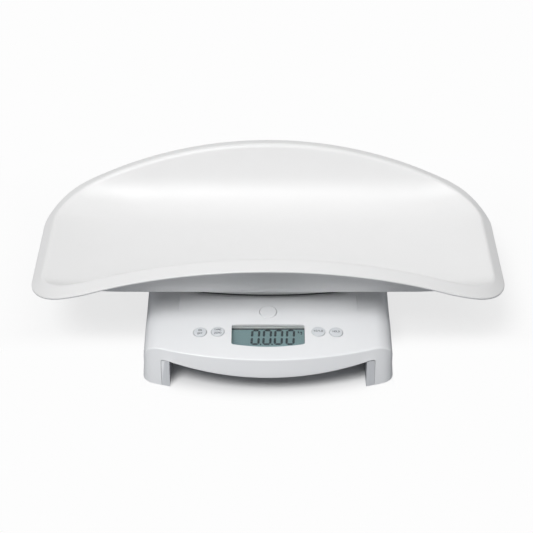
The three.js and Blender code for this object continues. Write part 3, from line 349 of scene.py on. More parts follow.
WALL_FOOT = straight_wall()
SIDE_Y = MOUTH_HALF - WALL_FOOT / math.tan(WALL_SLOPE) - SIDE_RADIUS * math.sin(WALL_SLOPE)
SIDE_Z = RIM_HEIGHT - WALL_FOOT + SIDE_RADIUS * math.cos(WALL_SLOPE)
FLOOR_EDGE = SIDE_Y + SIDE_RADIUS * math.sin(FLOOR_SLOPE)
FLOOR_RADIUS = FLOOR_EDGE / math.sin(FLOOR_SLOPE)


def smooth_step(value, low, high):
    """A smooth change from 0 to 1 between two values."""
    t = np.clip((value - low) / (high - low), 0, 1)
    return t * t * (3 - 2 * t)


def rim_height(x):
    """The rim is an arc seen from the front."""
    return RIM_HEIGHT - RIM_ARC + np.sqrt(RIM_ARC ** 2 - x ** 2)


def trough_height(x, y):
    """The trough's section: floor arc, side arc and straight wall, one after the other.

    The floor rises towards the ends as the square of x, and less where it turns up into the walls.
    """
    side = np.abs(y)
    floor = FLOOR_HEIGHT + FLOOR_RADIUS - np.sqrt(np.maximum(FLOOR_RADIUS ** 2 - side ** 2, 0))
    reach = np.clip(side - SIDE_Y, 0, SIDE_RADIUS)
    curve = SIDE_Z - np.sqrt(SIDE_RADIUS ** 2 - reach ** 2)
    wall = RIM_HEIGHT - (MOUTH_HALF - side) * math.tan(WALL_SLOPE)
    on_wall = side - SIDE_Y > SIDE_RADIUS * math.sin(WALL_SLOPE)
    section = np.where(side < FLOOR_EDGE, floor, np.where(on_wall, wall, curve))
    fade = 1 - smooth_step(section - FLOOR_HEIGHT, 0, RISE_FADE)
    return section + END_RISE * (x / MOUTH_END) ** 2 * fade


def mouth_half(x):
    """Half the mouth's width at x: where the arched rim meets the section."""
    fall = RIM_HEIGHT - rim_height(x)
    on_wall = MOUTH_HALF - fall / math.tan(WALL_SLOPE)
    on_curve = SIDE_Y + np.sqrt(np.maximum(SIDE_RADIUS ** 2 - (SIDE_Z - RIM_HEIGHT + fall) ** 2, 0))
    return np.where(fall < WALL_FOOT, on_wall, on_curve)


def cubic(points, count):
    """A cubic curve through four guide points, without its last point."""
    t = np.linspace(0, 1, count, endpoint=False)[:, None]
    a, b, c, d = (np.asarray(p, float) for p in points)
    return a * (1 - t) ** 3 + 3 * b * t * (1 - t) ** 2 + 3 * c * t ** 2 * (1 - t) + d * t ** 3


def mouth_loop():
    """The mouth from above: a quarter of side, corner curve and end, mirrored round."""
    start = MOUTH_END - CORNER_START
    x = np.linspace(0, start, SIDE_STEPS, endpoint=False)
    side = np.column_stack([x, mouth_half(x)])
    first = np.array([start, float(mouth_half(start))])
    lean = np.array([1, float(mouth_half(start + 0.5) - mouth_half(start - 0.5))])
    lean = lean / np.linalg.norm(lean)
    last = np.array([MOUTH_END, END_STRAIGHT])
    lead = first + lean * CORNER_LEAD
    tail = np.array([MOUTH_END, END_STRAIGHT + CORNER_TAIL])
    corner = cubic([first, lead, tail, last], CORNER_STEPS)
    end_y = np.linspace(last[1], 0, END_STEPS)
    end = np.column_stack([np.full(END_STEPS, MOUTH_END), end_y])
    quarter = np.concatenate([side, corner, end])
    right = quarter * [1, -1]
    back = quarter[:-1][::-1]
    left = quarter[1:] * [-1, 1]
    front = quarter[1:-1][::-1] * [-1, -1]
    return np.concatenate([right, back, left, front])


def loop_normals(loop):
    """Outward normals of a counter-clockwise loop."""
    along = np.roll(loop, -1, axis=0) - np.roll(loop, 1, axis=0)
    along /= np.linalg.norm(along, axis=1)[:, None]
    return np.column_stack([along[:, 1], -along[:, 0]])


def tray_rings():
    """The tray's upper face from the middle outwards, its rolled edge, and its under face back inwards.

    Inside, each ring is the mouth drawn in by a share, at the trough's height plus the fifth power
    of the share times what the mouth lacks to meet the rim's arc. The rim is a curve through the wall
    and the flange. The under face lies one wall below, square to the upper face.
    """
    loop = mouth_loop()
    out = loop_normals(loop)
    corner = np.column_stack([loop, rim_height(loop[:, 0])])
    lack = corner[:, 2] - trough_height(loop[:, 0], loop[:, 1])

    def lifted(plan, share):
        height = trough_height(plan[:, 0], plan[:, 1]) + lack * share ** LACK_POWER
        return np.column_stack([plan, height])

    shares = np.concatenate([np.linspace(0.03, 0.42, 10), np.linspace(0.45, 0.965, 40)])
    inner = [lifted(loop * share, share) for share in shares]
    below = lifted(loop - out * RIM_ROUND / 2, 1)
    turn = smooth_step(np.abs(out[:, 0]), END_FACING, 1)
    width = SIDE_FLANGE + (END_FLANGE - SIDE_FLANGE) * turn
    drop = SIDE_DROP + (END_DROP - SIDE_DROP) * (np.abs(loop[:, 0]) / MOUTH_END) ** DROP_POWER

    def on_flange(share):
        plan = loop + out * (width * share)[:, None]
        return np.column_stack([plan, corner[:, 2] - drop * share])

    start = RIM_ROUND / SIDE_FLANGE
    beyond = on_flange(start)
    rim = []
    for t in np.linspace(0, 1, RIM_STEPS + 1):
        rim.append(below * (1 - t) ** 2 + corner * 2 * t * (1 - t) + beyond * t ** 2)
    finish = 1 - WALL / 2 / SIDE_FLANGE
    flange = [on_flange(share) for share in np.linspace(start, finish, 8)[1:]]
    top = np.stack(inner + rim + flange)

    along = np.roll(top, -1, axis=1) - np.roll(top, 1, axis=1)
    across = np.gradient(top, axis=0)
    up = np.cross(across, along)
    up /= np.linalg.norm(up, axis=2)[:, :, None]
    rim_start = len(inner)
    rim_end = rim_start + RIM_STEPS
    keep = list(range(rim_start + 1)) + list(range(rim_end, len(top)))
    under_up = up.copy()
    under_up[rim_start] = up[rim_start - 1]
    under_up[rim_end] = up[rim_end + 1]
    under = (top - under_up * WALL)[keep]

    edge_up = up[-1]
    outward = top[-1] - top[-2]
    outward /= np.linalg.norm(outward, axis=1)[:, None]
    centre = top[-1] - edge_up * WALL / 2
    edge = [centre + (outward * math.sin(a) + edge_up * math.cos(a)) * WALL / 2
            for a in np.linspace(0, math.pi, 9)[1:-1]]
    rings = np.stack(list(under) + list(reversed(edge)) + list(top[::-1]))
    rings[:, :, 1] += TRAY_Y
    return rings


tray_shell = skin("tray_shell", tray_rings(), TRAY_ABS, sharp=TRAY_SHARP)
stand_for(tray_shell, "tray", "tray_unit")

# The base cover, in millimetres, with lengths along Y measured from the tray's middle

BASE_WIDTH = 284.0
BASE_FRONT, BASE_BACK = 176.0, 112.0
FRONT_ARC = 349.0
CORNER_RADIUS, BACK_RADIUS = 18.0, 12.0
DECK_EDGE = 60.0
PANEL_SLOPE, PANEL_RADIUS = 0.15, 2170.0
EDGE_ROUND, SHOULDER, SKIRT_FLARE = 1.5, 20.0, 1.2
BAND_LEAN, LEAN_DROP, LEAN_START, LEAN_FULL = 3.0, 13.0, 0.3, 0.85
COVER_WALL, CAVITY_ROUND = 3.0, 2.0
PLATFORM_HALF = BASE_WIDTH / 2 - 38
PLATFORM_STEP, PLATFORM_START, PLATFORM_FADE, PLATFORM_BACK = 4.0, 95.0, 32.0, 85.7
PLATFORM_DEPTH, PLATFORM_LEAN, PLATFORM_EDGE, PLATFORM_LIFT = 10.0, 1.8, 1.2, 0.02
LEG_WIDTH, NOTCH_WIDTH, NOTCH_RISE, NOTCH_ROUND = 20.8, 7.7, 9.3, 2.0
BAND_HEIGHT = 21.3
SKIRT_FLOOR, LEG_FLOOR, LEG_LENGTH = 13.8, 0.6, 48.0
WINDOW_WIDTH, WINDOW_NEAR, WINDOW_FAR, WINDOW_BOW, WINDOW_ROUND = 83.0, 152.8, 117.4, 4.3, 3.0
KEY_RADIUS, KEY_ROW = 7.45, 128.0
KEY_PLACES = {"key_far_left": -77.4, "key_near_left": -57.2, "key_near_right": 57.2, "key_far_right": 77.4}
RELEASE_RADIUS, RELEASE_PLACE = 9.6, 97.0
SEAT_FRONT = 71.7
KEY_GAP, BUTTON_GAP = 0.5, 0.65
SLOT_HALF_X, SLOT_HALF_Y, SLOT_DEPTH, SLOT_PLACES = 7.0, 3.5, 9.0, (-38.0, 42.0)
KEY_SIDES, BUTTON_SIDES = 80, 96
# Cuts run this far past the faces that they open, and below the wall's inner face.
OVERCUT, UNDERCUT = 5.0, 3.0
# The heights at which cuts start under the base, under the deck, and end above it.
CUT_FLOOR, CUT_LOW, CUT_HIGH = -1.0, DECK - 16, DECK + 10
# How deep the arches reach in from the front and the back, and where the side cuts start.
ARCH_DEPTH, BACK_DEPTH, SIDE_START = LEG_LENGTH + 4, 20.0, LEG_LENGTH - 8

HALF_BASE = BASE_WIDTH / 2
ARC_CENTRE = FRONT_ARC - BASE_FRONT
CORNER_X = HALF_BASE - CORNER_RADIUS
CORNER_Y = ARC_CENTRE - math.sqrt((FRONT_ARC - CORNER_RADIUS) ** 2 - CORNER_X ** 2)
CORNER_TURN = math.atan2(CORNER_X, ARC_CENTRE - CORNER_Y)


def panel_reach(x, y):
    """How far a place lies in front of the deck's edge, measured from the centre of the front's bow."""
    return np.maximum(np.hypot(x, ARC_CENTRE - y) - ARC_CENTRE - DECK_EDGE, 0)


def panel_height(x, y):
    """The deck is level; in front of its edge the panel slopes away and bends down a little."""
    reach = panel_reach(x, y)
    return DECK - PANEL_SLOPE * reach - reach ** 2 / (2 * PANEL_RADIUS)


def top_height(x, y):
    """Panel height, less the step beside the platform and the round shoulder along each side."""
    over = np.clip(np.abs(x) - HALF_BASE + SHOULDER, 0, SHOULDER)
    shoulder = SHOULDER - np.sqrt(SHOULDER ** 2 - over ** 2)
    step = PLATFORM_STEP * smooth_step(y, -PLATFORM_START, -PLATFORM_START + PLATFORM_FADE)
    return panel_height(x, y) - step - shoulder


def base_outline(inset):
    """The base from above: bowed front, small front corners, straight sides, rounded back corners."""
    front = FRONT_ARC - inset
    turn = np.linspace(-CORNER_TURN, CORNER_TURN, 121)
    bow = np.column_stack([front * np.sin(turn), ARC_CENTRE - front * np.cos(turn)])
    small = CORNER_RADIUS - inset
    turn = np.linspace(CORNER_TURN, math.pi / 2, 13)[1:]
    corner = np.column_stack([CORNER_X + small * np.sin(turn), CORNER_Y - small * np.cos(turn)])
    side_y = np.linspace(CORNER_Y, BASE_BACK - BACK_RADIUS, 72)[1:]
    side = np.column_stack([np.full(len(side_y), HALF_BASE - inset), side_y])
    back = BACK_RADIUS - inset
    turn = np.linspace(0, math.pi / 2, 11)[1:]
    back_x, back_y = HALF_BASE - BACK_RADIUS, BASE_BACK - BACK_RADIUS
    rear = np.column_stack([back_x + back * np.cos(turn), back_y + back * np.sin(turn)])
    back_line = np.linspace(back_x, 0, 30)[1:]
    line = np.column_stack([back_line, np.full(len(back_line), BASE_BACK - inset)])
    right = np.concatenate([corner, side, rear, line])
    left = right[:-1][::-1] * [-1, 1]
    return np.concatenate([bow, right, left])


def dome(inset, round_off, sink, foot, flare=0.0):
    """A skin under the base's top: its foot ring, a rounded edge, then rings drawn in to the middle.

    The foot ring stands out by the flare, the draft that the skirt needs to leave its mould. The
    front band leans back over its upper part, so that its top edge lies behind its lower edge.
    """
    straight = base_outline(0)
    inwards = base_outline(1) - straight
    front = smooth_step(-loop_normals(straight)[:, 1], LEAN_START, LEAN_FULL)

    def level(draw, drop):
        plan = straight + inwards * np.broadcast_to(draw, len(straight))[:, None]
        return np.column_stack([plan, top_height(plan[:, 0], plan[:, 1]) - sink - drop])

    plan = base_outline(inset - flare)
    rings = [np.column_stack([plan, np.full(len(plan), foot)]), level(inset, LEAN_DROP)]
    lean = inset + BAND_LEAN * front
    for a in np.linspace(0, math.pi / 2, 10):
        rings.append(level(lean + round_off * (1 - math.cos(a)), round_off * (1 - math.sin(a))))
    edge = rings[-1][:, :2]
    centre = np.array([0, (BASE_BACK - BASE_FRONT) / 2])
    for share in np.concatenate([np.linspace(0.99, 0.86, 14), np.linspace(0.83, 0.04, 30)]):
        plan = centre + (edge - centre) * share
        rings.append(np.column_stack([plan, top_height(plan[:, 0], plan[:, 1]) - sink]))
    return np.stack(rings)


def shifted(rings):
    """Rings moved from the tray's middle to the frame's origin."""
    moved = np.array(rings, float)
    moved[..., 1] += TRAY_Y
    return moved


def platform_rings():
    """The raised platform: one section across for each place along Y, with leaning, rounded sides."""
    places = np.concatenate([np.linspace(-PLATFORM_START + 2, -DECK_EDGE, 16), [0, PLATFORM_BACK]])
    low = DECK - PLATFORM_DEPTH
    edge = PLATFORM_EDGE
    turn = np.linspace(0, math.pi / 2, 6)
    rings = []
    for y in places:
        top = panel_height(PLATFORM_HALF - edge - PLATFORM_LEAN, y)
        side_x = PLATFORM_HALF - PLATFORM_LEAN * (top - edge - low) / PLATFORM_DEPTH
        right = np.column_stack([side_x - edge + edge * np.cos(turn), top - edge + edge * np.sin(turn)])
        across = np.linspace(right[-1, 0], -right[-1, 0], 30)[1:-1]
        flat = np.column_stack([across, panel_height(across, y) + PLATFORM_LIFT])
        section = np.concatenate([[[PLATFORM_HALF, low]], right, flat, right[::-1] * [-1, 1],
                                  [[-PLATFORM_HALF, low]]])
        rings.append(np.column_stack([section[:, 0], np.full(len(section), y), section[:, 1]]))
    return np.stack(rings)


DISPLAY_Y = -(WINDOW_NEAR + WINDOW_FAR) / 2
DISPLAY_TILT = math.atan(PANEL_SLOPE + float(panel_reach(0, DISPLAY_Y)) / PANEL_RADIUS)


def panel_matrix(x, y):
    """A frame on the sloped panel with the display's tilt: its own Y runs up the slope."""
    matrix = np.array(Matrix.Rotation(DISPLAY_TILT, 4, "X"))
    matrix[:3, 3] = [x, y + TRAY_Y, float(panel_height(x, y))]
    return matrix


DISPLAY = panel_matrix(0, DISPLAY_Y)
WINDOW_DEPTH = (WINDOW_NEAR - WINDOW_FAR) / math.cos(DISPLAY_TILT)


def arc(x, y, radius, start, end, count=9):
    """Points on an arc, from one angle to another in degrees."""
    turn = np.radians(np.linspace(start, end, count))
    return np.column_stack([x + radius * np.cos(turn), y + radius * np.sin(turn)])


def window_outline(grow=0.0):
    """The display window: straight far edge, near edge bowed like the front, rounded corners."""
    half = WINDOW_WIDTH / 2 + grow
    far, near = WINDOW_DEPTH / 2 + grow, -WINDOW_DEPTH / 2 - grow
    r = WINDOW_ROUND
    x = np.linspace(-half + r, half - r, 41)
    bowed = near + WINDOW_BOW * (x / x[-1]) ** 2
    near_left = arc(-half + r, bowed[0] + r, r, 180, 262)
    near_right = arc(half - r, bowed[0] + r, r, 278, 360)
    return np.concatenate([near_left, np.column_stack([x, bowed])[1:-1], near_right,
                           arc(half - r, far - r, r, 0, 90), arc(-half + r, far - r, r, 90, 180)])


def arch_outline(floor, notch, inner, end):
    """The arch in the front band, with square-shouldered notches beside the legs."""
    sagitta = notch - floor
    radius = (end ** 2 + sagitta ** 2) / (2 * sagitta)
    x = np.linspace(end, -end, 81)
    bow = np.column_stack([x, floor + radius - np.sqrt(radius ** 2 - x ** 2)])
    small = NOTCH_ROUND
    return np.concatenate([[[-inner, -10], [inner, -10]], arc(inner - small, notch - small, small, 0, 90),
                           bow, arc(-inner + small, notch - small, small, 90, 180)])


def front_prism(name, outline, y0, y1):
    """An outline drawn in X and Z, carried along Y."""
    outline = np.asarray(outline, float)
    rings = [np.column_stack([outline[:, 0], np.full(len(outline), y), outline[:, 1]]) for y in (y1, y0)]
    return skin(name, shifted(rings), None, smooth=False)


def cut_box(name, low, high):
    """A cutting box, with Y measured from the tray's middle."""
    return box_object(name, shifted([low])[0], shifted([high])[0])


def base_cover():
    """The moulded cover: a shell of even wall, a platform joined on, and its openings cut out."""
    cover = skin("base_cover", shifted(dome(0, EDGE_ROUND, 0, LEG_FLOOR, SKIRT_FLARE)), COVER_ABS)
    hollow = dome(COVER_WALL, CAVITY_ROUND, COVER_WALL, LEG_FLOOR - OVERCUT)
    cavity = skin("cavity", shifted(hollow), None)
    platform = skin("platform", shifted(platform_rings()), COVER_ABS)
    combine(cover, [cavity], "DIFFERENCE")
    combine(cover, [platform], "UNION")
    band_floor = float(panel_height(0, -BASE_FRONT)) - BAND_HEIGHT
    notch = band_floor + NOTCH_RISE
    inner = HALF_BASE - LEG_WIDTH
    arch = front_prism("arch", arch_outline(band_floor, notch, inner, inner - NOTCH_WIDTH),
                       -BASE_FRONT - OVERCUT, -BASE_FRONT + ARCH_DEPTH)
    back_arch = cut_box("back_arch", [-inner, BASE_BACK - BACK_DEPTH, CUT_FLOOR],
                        [inner, BASE_BACK + OVERCUT, SKIRT_FLOOR])
    wide = HALF_BASE + OVERCUT
    sides = cut_box("sides", [-wide, CORNER_Y + SIDE_START, CUT_FLOOR],
                    [wide, BASE_BACK - LEG_LENGTH, SKIRT_FLOOR])
    under = -COVER_WALL - UNDERCUT
    window = prism("window", window_outline(), under, OVERCUT, DISPLAY)
    key_hole = turned_rings([[KEY_RADIUS + KEY_GAP, under], [KEY_RADIUS + KEY_GAP, OVERCUT]])
    holes = [skin("hole", carried(key_hole, panel_matrix(x, -KEY_ROW)), None) for x in KEY_PLACES.values()]
    hole = [[RELEASE_RADIUS + BUTTON_GAP, CUT_LOW], [RELEASE_RADIUS + BUTTON_GAP, CUT_HIGH]]
    button = skin("button_hole", shifted(turned_rings(hole, BUTTON_SIDES) - [0, RELEASE_PLACE, 0]), None)
    slots = [cut_box("slot", [-SLOT_HALF_X, y - SLOT_HALF_Y, DECK - SLOT_DEPTH],
                     [SLOT_HALF_X, y + SLOT_HALF_Y, CUT_HIGH]) for y in SLOT_PLACES]
    combine(cover, [arch, back_arch, sides, window, button, *holes, *slots], "DIFFERENCE")
    shade(cover, sharp=COVER_SHARP)
    return cover


stand_for(base_cover(), "top_cover", "base")

# The release button and the keys, in millimetres

# The radius of a turned body's smallest ring, next to its axis.
AXIS = 0.4
CAP_FOOT, CAP_EDGE, CAP_EDGE_Z, CAP_TOP = -2.4, 0.9, -0.3, 0.62
DISH_DEPTH, DISH_EDGE, DISH_RIM, DISH_FLAT = 0.35, 1.3, 1.2, 5.0
STEM_HALF, STEM_FRONT, STEM_BACK, STEM_LENGTH = 4.0, 5.0, 4.0, 19.0
STEM_TOE, STEM_SINK = 1.0, 1.0


def slanted(across, up):
    """A matrix that lifts each point by its X times one slope and its Y times another."""
    matrix = np.eye(4)
    matrix[2, :2] = [across, up]
    return matrix


def release_button():
    """The button: an upright cap whose dished top is slanted like the panel, on a wedge-footed stem."""
    height = float(panel_height(0, -RELEASE_PLACE))
    fall = float(panel_height(0, 0.5 - RELEASE_PLACE) - panel_height(0, -0.5 - RELEASE_PLACE))
    edge = arc(RELEASE_RADIUS - CAP_EDGE, CAP_EDGE_Z, CAP_EDGE, 0, 90, 8)
    dish_r = np.linspace(RELEASE_RADIUS - DISH_EDGE, AXIS, 12)
    dish_z = CAP_TOP - DISH_DEPTH * smooth_step(RELEASE_RADIUS - dish_r, DISH_RIM, DISH_FLAT)
    dish = np.column_stack([dish_r, dish_z])
    profile = np.concatenate([[[AXIS, CAP_FOOT], [RELEASE_RADIUS, CAP_FOOT]], edge, dish])
    place = slanted(0, fall)
    place[:3, 3] = [0, -RELEASE_PLACE + TRAY_Y, height]
    cap = skin("release_cap", carried(turned_rings(profile, BUTTON_SIDES), place), COVER_ABS)
    foot, front, back = height - STEM_LENGTH, -RELEASE_PLACE - STEM_FRONT, -RELEASE_PLACE + STEM_BACK
    outline = [[front, foot], [front + STEM_TOE, foot], [back, foot + back - front - STEM_TOE],
               [back, height - STEM_SINK], [front, height - STEM_SINK - STEM_FRONT * fall]]
    sideways = np.array([[0, 0, 1, 0], [1, 0, 0, TRAY_Y], [0, 1, 0, 0], [0, 0, 0, 1]], float)
    combine(cap, [prism("stem", outline, -STEM_HALF, STEM_HALF, sideways)], "UNION")
    shade(cap)
    return cap


stand_for(release_button(), "release_button", frame["nodes"]["release_button"]["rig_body"])

KEY_TOP, KEY_CROWN, KEY_ROUND, KEY_DEPTH = 0.9, 0.3, 0.7, 8.32
KEY_EDGE = KEY_RADIUS - KEY_ROUND
KEY_STEM, KEY_FLANGE, FLANGE_LOW, FLANGE_HIGH = 2.2, 8.65, -4.5, -3.3


def key_frame(x):
    """A key's own frame: upright on the display's plane, with its top slanted like the panel there."""
    places = np.array([[x, -KEY_ROW], [x + 1, -KEY_ROW], [x, 1 - KEY_ROW]])
    heights = panel_height(places[:, 0], places[:, 1])
    spots = carried(shifted(np.column_stack([places, heights])), np.linalg.inv(DISPLAY))
    aside, behind = spots[1] - spots[0], spots[2] - spots[0]
    up = behind[2] / behind[1]
    return panel_matrix(x, -KEY_ROW) @ slanted(aside[2] - up * aside[1], up), -spots[0, 2]


def crown(x, y):
    """The top of a key is a shallow bowl turned over: its height falls with the square of the radius."""
    return KEY_TOP + KEY_CROWN * (1 - (x ** 2 + y ** 2) / KEY_EDGE ** 2)


def round_key(name, place, sink):
    """A key turned about its axis: stem, flange under the panel, and a round-edged cap."""
    foot = sink - KEY_DEPTH
    stem = [[AXIS, foot], [KEY_STEM, foot], [KEY_STEM, FLANGE_LOW]]
    flange = [[KEY_FLANGE, FLANGE_LOW], [KEY_FLANGE, FLANGE_HIGH], [KEY_RADIUS, FLANGE_HIGH]]
    edge = arc(KEY_EDGE, KEY_TOP - KEY_ROUND, KEY_ROUND, 0, 90, 7)[:-1]
    top_r = np.linspace(KEY_EDGE, AXIS, 12)
    profile = np.concatenate([stem, flange, edge, np.column_stack([top_r, crown(top_r, 0)])])
    return skin(name, carried(turned_rings(profile, KEY_SIDES), place), KEY_ABS)


# Flat marks: printed letters, display segments, and the dark border round the LCD, partly painted shade, in
# millimetres

LETTER_SHARE, PEN_REACH = 0.74, 0.8
KEY_LETTER, KEY_PITCH, KEY_PEN = 2.4, 2.1, 0.21
PRINT_LOW, PRINT_HIGH = -0.05, 0.015


def plates(name, outlines, low, high, matrix, material, rise=None):
    """Thin plates in one mesh: each outline is drawn out along Z, over a curved top where one is given."""
    points, faces = [], []
    for outline in outlines:
        outline = np.asarray(outline, float)
        base = 0 if rise is None else rise(outline[:, 0], outline[:, 1])
        rings = np.stack([np.column_stack([outline, np.full(len(outline), z) + base]) for z in (low, high)])
        rings = carried(rings, matrix)
        start = sum(len(part) for part in points)
        ends = np.stack([rings[0].mean(axis=0), rings[1].mean(axis=0)])
        points.append(np.concatenate([rings.reshape(-1, 3), ends]))
        faces += [[start + i for i in face] for face in skin_faces(2, len(outline))]
    return make_object(name, np.concatenate(points), faces, material, smooth=False)


def bar(start, end, half):
    """A straight mark between two points, with pointed ends."""
    start, end = np.asarray(start, float), np.asarray(end, float)
    along = (end - start) / np.linalg.norm(end - start) * half
    side = np.array([-along[1], along[0]])
    return np.stack([start, start + along - side, end - along - side, end,
                     end - along + side, start + along + side])


STROKES = {
    "B": ["00 06 36 45 44 33 03", "33 42 41 30 00"],
    "D": ["00 06 26 44 42 20 00"],
    "E": ["40 00 06 46", "03 33"],
    "F": ["00 06 46", "03 33"],
    "A": ["00 26 40", "12 32"],
    "G": ["45 36 16 05 01 10 30 41 43 23"],
    "H": ["00 06", "40 46", "03 43"],
    "K": ["00 06", "46 03 40"],
    "L": ["06 00 40"],
    "N": ["00 06 40 46"],
    "O": ["10 01 05 16 36 45 41 30 10"],
    "R": ["00 06 36 45 44 33 03", "23 40"],
    "T": ["06 46", "20 26"],
    "Z": ["06 46 00 40"],
    "/": ["00 46"],
    "k": ["02 06", "34 03 32"],
    "g": ["32 12 04 34 30 00"],
}


def written(word, height, pitch, x, y, half):
    """The marks of a word in plain stroke letters, centred on a place; a letter is a 4 by 6 grid."""
    scale = np.array([pitch * LETTER_SHARE / 4, height / 6])
    marks = []
    for i, letter in enumerate(word):
        corner = np.array([x + (i - (len(word) - 1) / 2) * pitch - 2 * scale[0], y - height / 2])
        for stroke in STROKES[letter]:
            path = [corner + scale * [int(a), int(b)] for a, b in stroke.split()]
            for a, b in zip(path, path[1:]):
                reach = (b - a) / np.linalg.norm(b - a) * half * PEN_REACH
                marks.append(bar(a - reach, b + reach, half))
    return marks


KEY_WORDS = {
    "key_far_left": [("ON", 2.3), ("OFF", -2.9)],
    "key_near_left": [("TARE", 2.3), ("ZERO", -2.9)],
    "key_near_right": [("KG/LB", 0.3)],
    "key_far_right": [("HOLD", 0.3)],
}
for key_name, key_x in KEY_PLACES.items():
    key_place, key_sink = key_frame(key_x)
    key_body = frame["nodes"][key_name]["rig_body"]
    stand_for(round_key("round_" + key_name, key_place, key_sink), key_name, key_body)
    key_marks = [mark for word, y in KEY_WORDS[key_name]
                 for mark in written(word, KEY_LETTER, KEY_PITCH, 0, y, KEY_PEN)]
    key_print = plates("print_" + key_name, key_marks, PRINT_LOW, PRINT_HIGH, key_place, PRINT_GREY, crown)
    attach(key_print, key_body)

LCD_TOP, MARK_SINK, MARK_RISE = -7.771, 0.03, 0.05
DIGIT_WIDTH, DIGIT_LOW, DIGIT_HIGH, DIGIT_SLANT = 10.4, -8.2, 16.2, 0.05
SEGMENT_HALF, SEGMENT_GAP, SEGMENT_WAIST = 1.3, 0.3, 0.8
DIGIT_PLACES, POINT_PLACES, POINT_Y, POINT_RADIUS = (-14.6, -1.2, 11.7, 25.1), (-8.2, 4.8), -7.2, 1.05
UNIT_PLACE, UNIT_LETTER, UNIT_PITCH, UNIT_PEN = (36.6, 11.6), 5.6, 2.7, 0.4


def digit(x):
    """The six lit segments of a nought around a place."""
    half, gap, waist = SEGMENT_HALF, SEGMENT_GAP, SEGMENT_WAIST
    left, right = x - DIGIT_WIDTH / 2 + half, x + DIGIT_WIDTH / 2 - half
    low, high = DIGIT_LOW + half, DIGIT_HIGH - half
    middle = (low + high) / 2
    ends = [((left + gap, high), (right - gap, high)), ((left + gap, low), (right - gap, low))]
    for side in (left, right):
        ends += [((side, middle + waist), (side, high - gap)), ((side, low + gap), (side, middle - waist))]
    return [bar(a, b, half) for a, b in ends]


lit = [segment for x in DIGIT_PLACES for segment in digit(x)]
lit += [arc(x, POINT_Y, POINT_RADIUS, 0, 315, 8) for x in POINT_PLACES]
lit = [outline + np.column_stack([outline[:, 1] * DIGIT_SLANT, np.zeros(len(outline))]) for outline in lit]
lit += written("kg", UNIT_LETTER, UNIT_PITCH, *UNIT_PLACE, UNIT_PEN)
segments = plates("lcd_segments", lit, LCD_TOP - MARK_SINK, LCD_TOP + MARK_RISE, DISPLAY, LCD_INK)
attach(segments, "base")

SIGHT_HALF, SIGHT_NEAR, SIGHT_FAR = WINDOW_WIDTH / 2 + 0.3, 0.7 - WINDOW_DEPTH / 2, WINDOW_DEPTH / 2 - 1.2
DARK_BORDER, DARK_BORDER_HEIGHT = 0.5, 1.75


def rectangle(x0, x1, y0, y1):
    """The corners of a rectangle."""
    return [[x0, y0], [x1, y0], [x1, y1], [x0, y1]]


bezel = merged_copy("display_bezel", "bezel_frame", BEZEL_ABS)
sight = prism("sight", rectangle(-SIGHT_HALF, SIGHT_HALF, SIGHT_NEAR, SIGHT_FAR), LCD_TOP - 1, -3, DISPLAY)
combine(bezel, [sight], "DIFFERENCE")
shade(bezel)
stand_for(bezel, "display_bezel", "base")
# A black border stands up round the LCD inside the bezel's sight: partly the LCD's own black edge, and partly
# painted shade for the sight's walls, which lie in shadow.
dark_border_sides = [
    rectangle(-SIGHT_HALF, SIGHT_HALF, SIGHT_FAR - DARK_BORDER, SIGHT_FAR),
    rectangle(-SIGHT_HALF, SIGHT_HALF, SIGHT_NEAR, SIGHT_NEAR + DARK_BORDER),
    rectangle(-SIGHT_HALF, DARK_BORDER - SIGHT_HALF, SIGHT_NEAR, SIGHT_FAR),
    rectangle(SIGHT_HALF - DARK_BORDER, SIGHT_HALF, SIGHT_NEAR, SIGHT_FAR),
]
lcd_dark_border = plates("lcd_border_and_painted_shade", dark_border_sides, LCD_TOP - MARK_SINK, LCD_TOP + DARK_BORDER_HEIGHT, DISPLAY,
                BLACK_NYLON)
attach(lcd_dark_border, "base")

SEAT_ARC, SHADOW_STRIP_HALF = 485.0, 92.0
SHADOW_STRIP_FRONT, SHADOW_STRIP_BACK, SHADOW_STRIP_LOW, SHADOW_STRIP_HIGH = 0.35, 1.2, 0.06, 0.42


def shadow_gap_strip():
    """A dark strip of painted shadow along the foot of the seat's bowed front edge, where the gap under the
    seat lies in shade, in short straight lengths.
    """
    x = np.linspace(-SHADOW_STRIP_HALF, SHADOW_STRIP_HALF, 47)
    edge = SEAT_ARC - SEAT_FRONT - np.sqrt(SEAT_ARC ** 2 - x ** 2) + TRAY_Y
    front = np.column_stack([x, edge - SHADOW_STRIP_FRONT])
    back = np.column_stack([x, edge + SHADOW_STRIP_BACK])
    return [[front[i], front[i + 1], back[i + 1], back[i]] for i in range(len(x) - 1)]


# Painted shadow: a thin dark strip stands in for the shade in the gap under the seat's front edge.
seat_shadow_strip = plates("seat_painted_shadow", shadow_gap_strip(), DECK + SHADOW_STRIP_LOW, DECK + SHADOW_STRIP_HIGH, np.eye(4), DARK_RUBBER_AND_PAINTED_SHADE)
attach(seat_shadow_strip, "tray_unit")

# Finishes of the nodes that keep their own mesh

NODE_FINISH = {
    "display_lens": CLEAR_ACRYLIC,
    "lcd_panel": LCD_GLASS,
    "lcd_reflector": BEZEL_ABS,
    "main_board": BOARD_GREEN,
    "controller_chip": BLACK_NYLON,
    "latch_slide": GREY_ACETAL,
    "battery_door": HOUSING_ABS,
    "contact_plate": BRIGHT_STEEL,
    "key_switch": BLACK_NYLON,
    "load_cell": ZINC_STEEL,
}
for node_name, node in frame["nodes"].items():
    for start, finish in NODE_FINISH.items():
        if node_name.startswith(start):
            node.data.materials.clear()
            node.data.materials.append(finish)

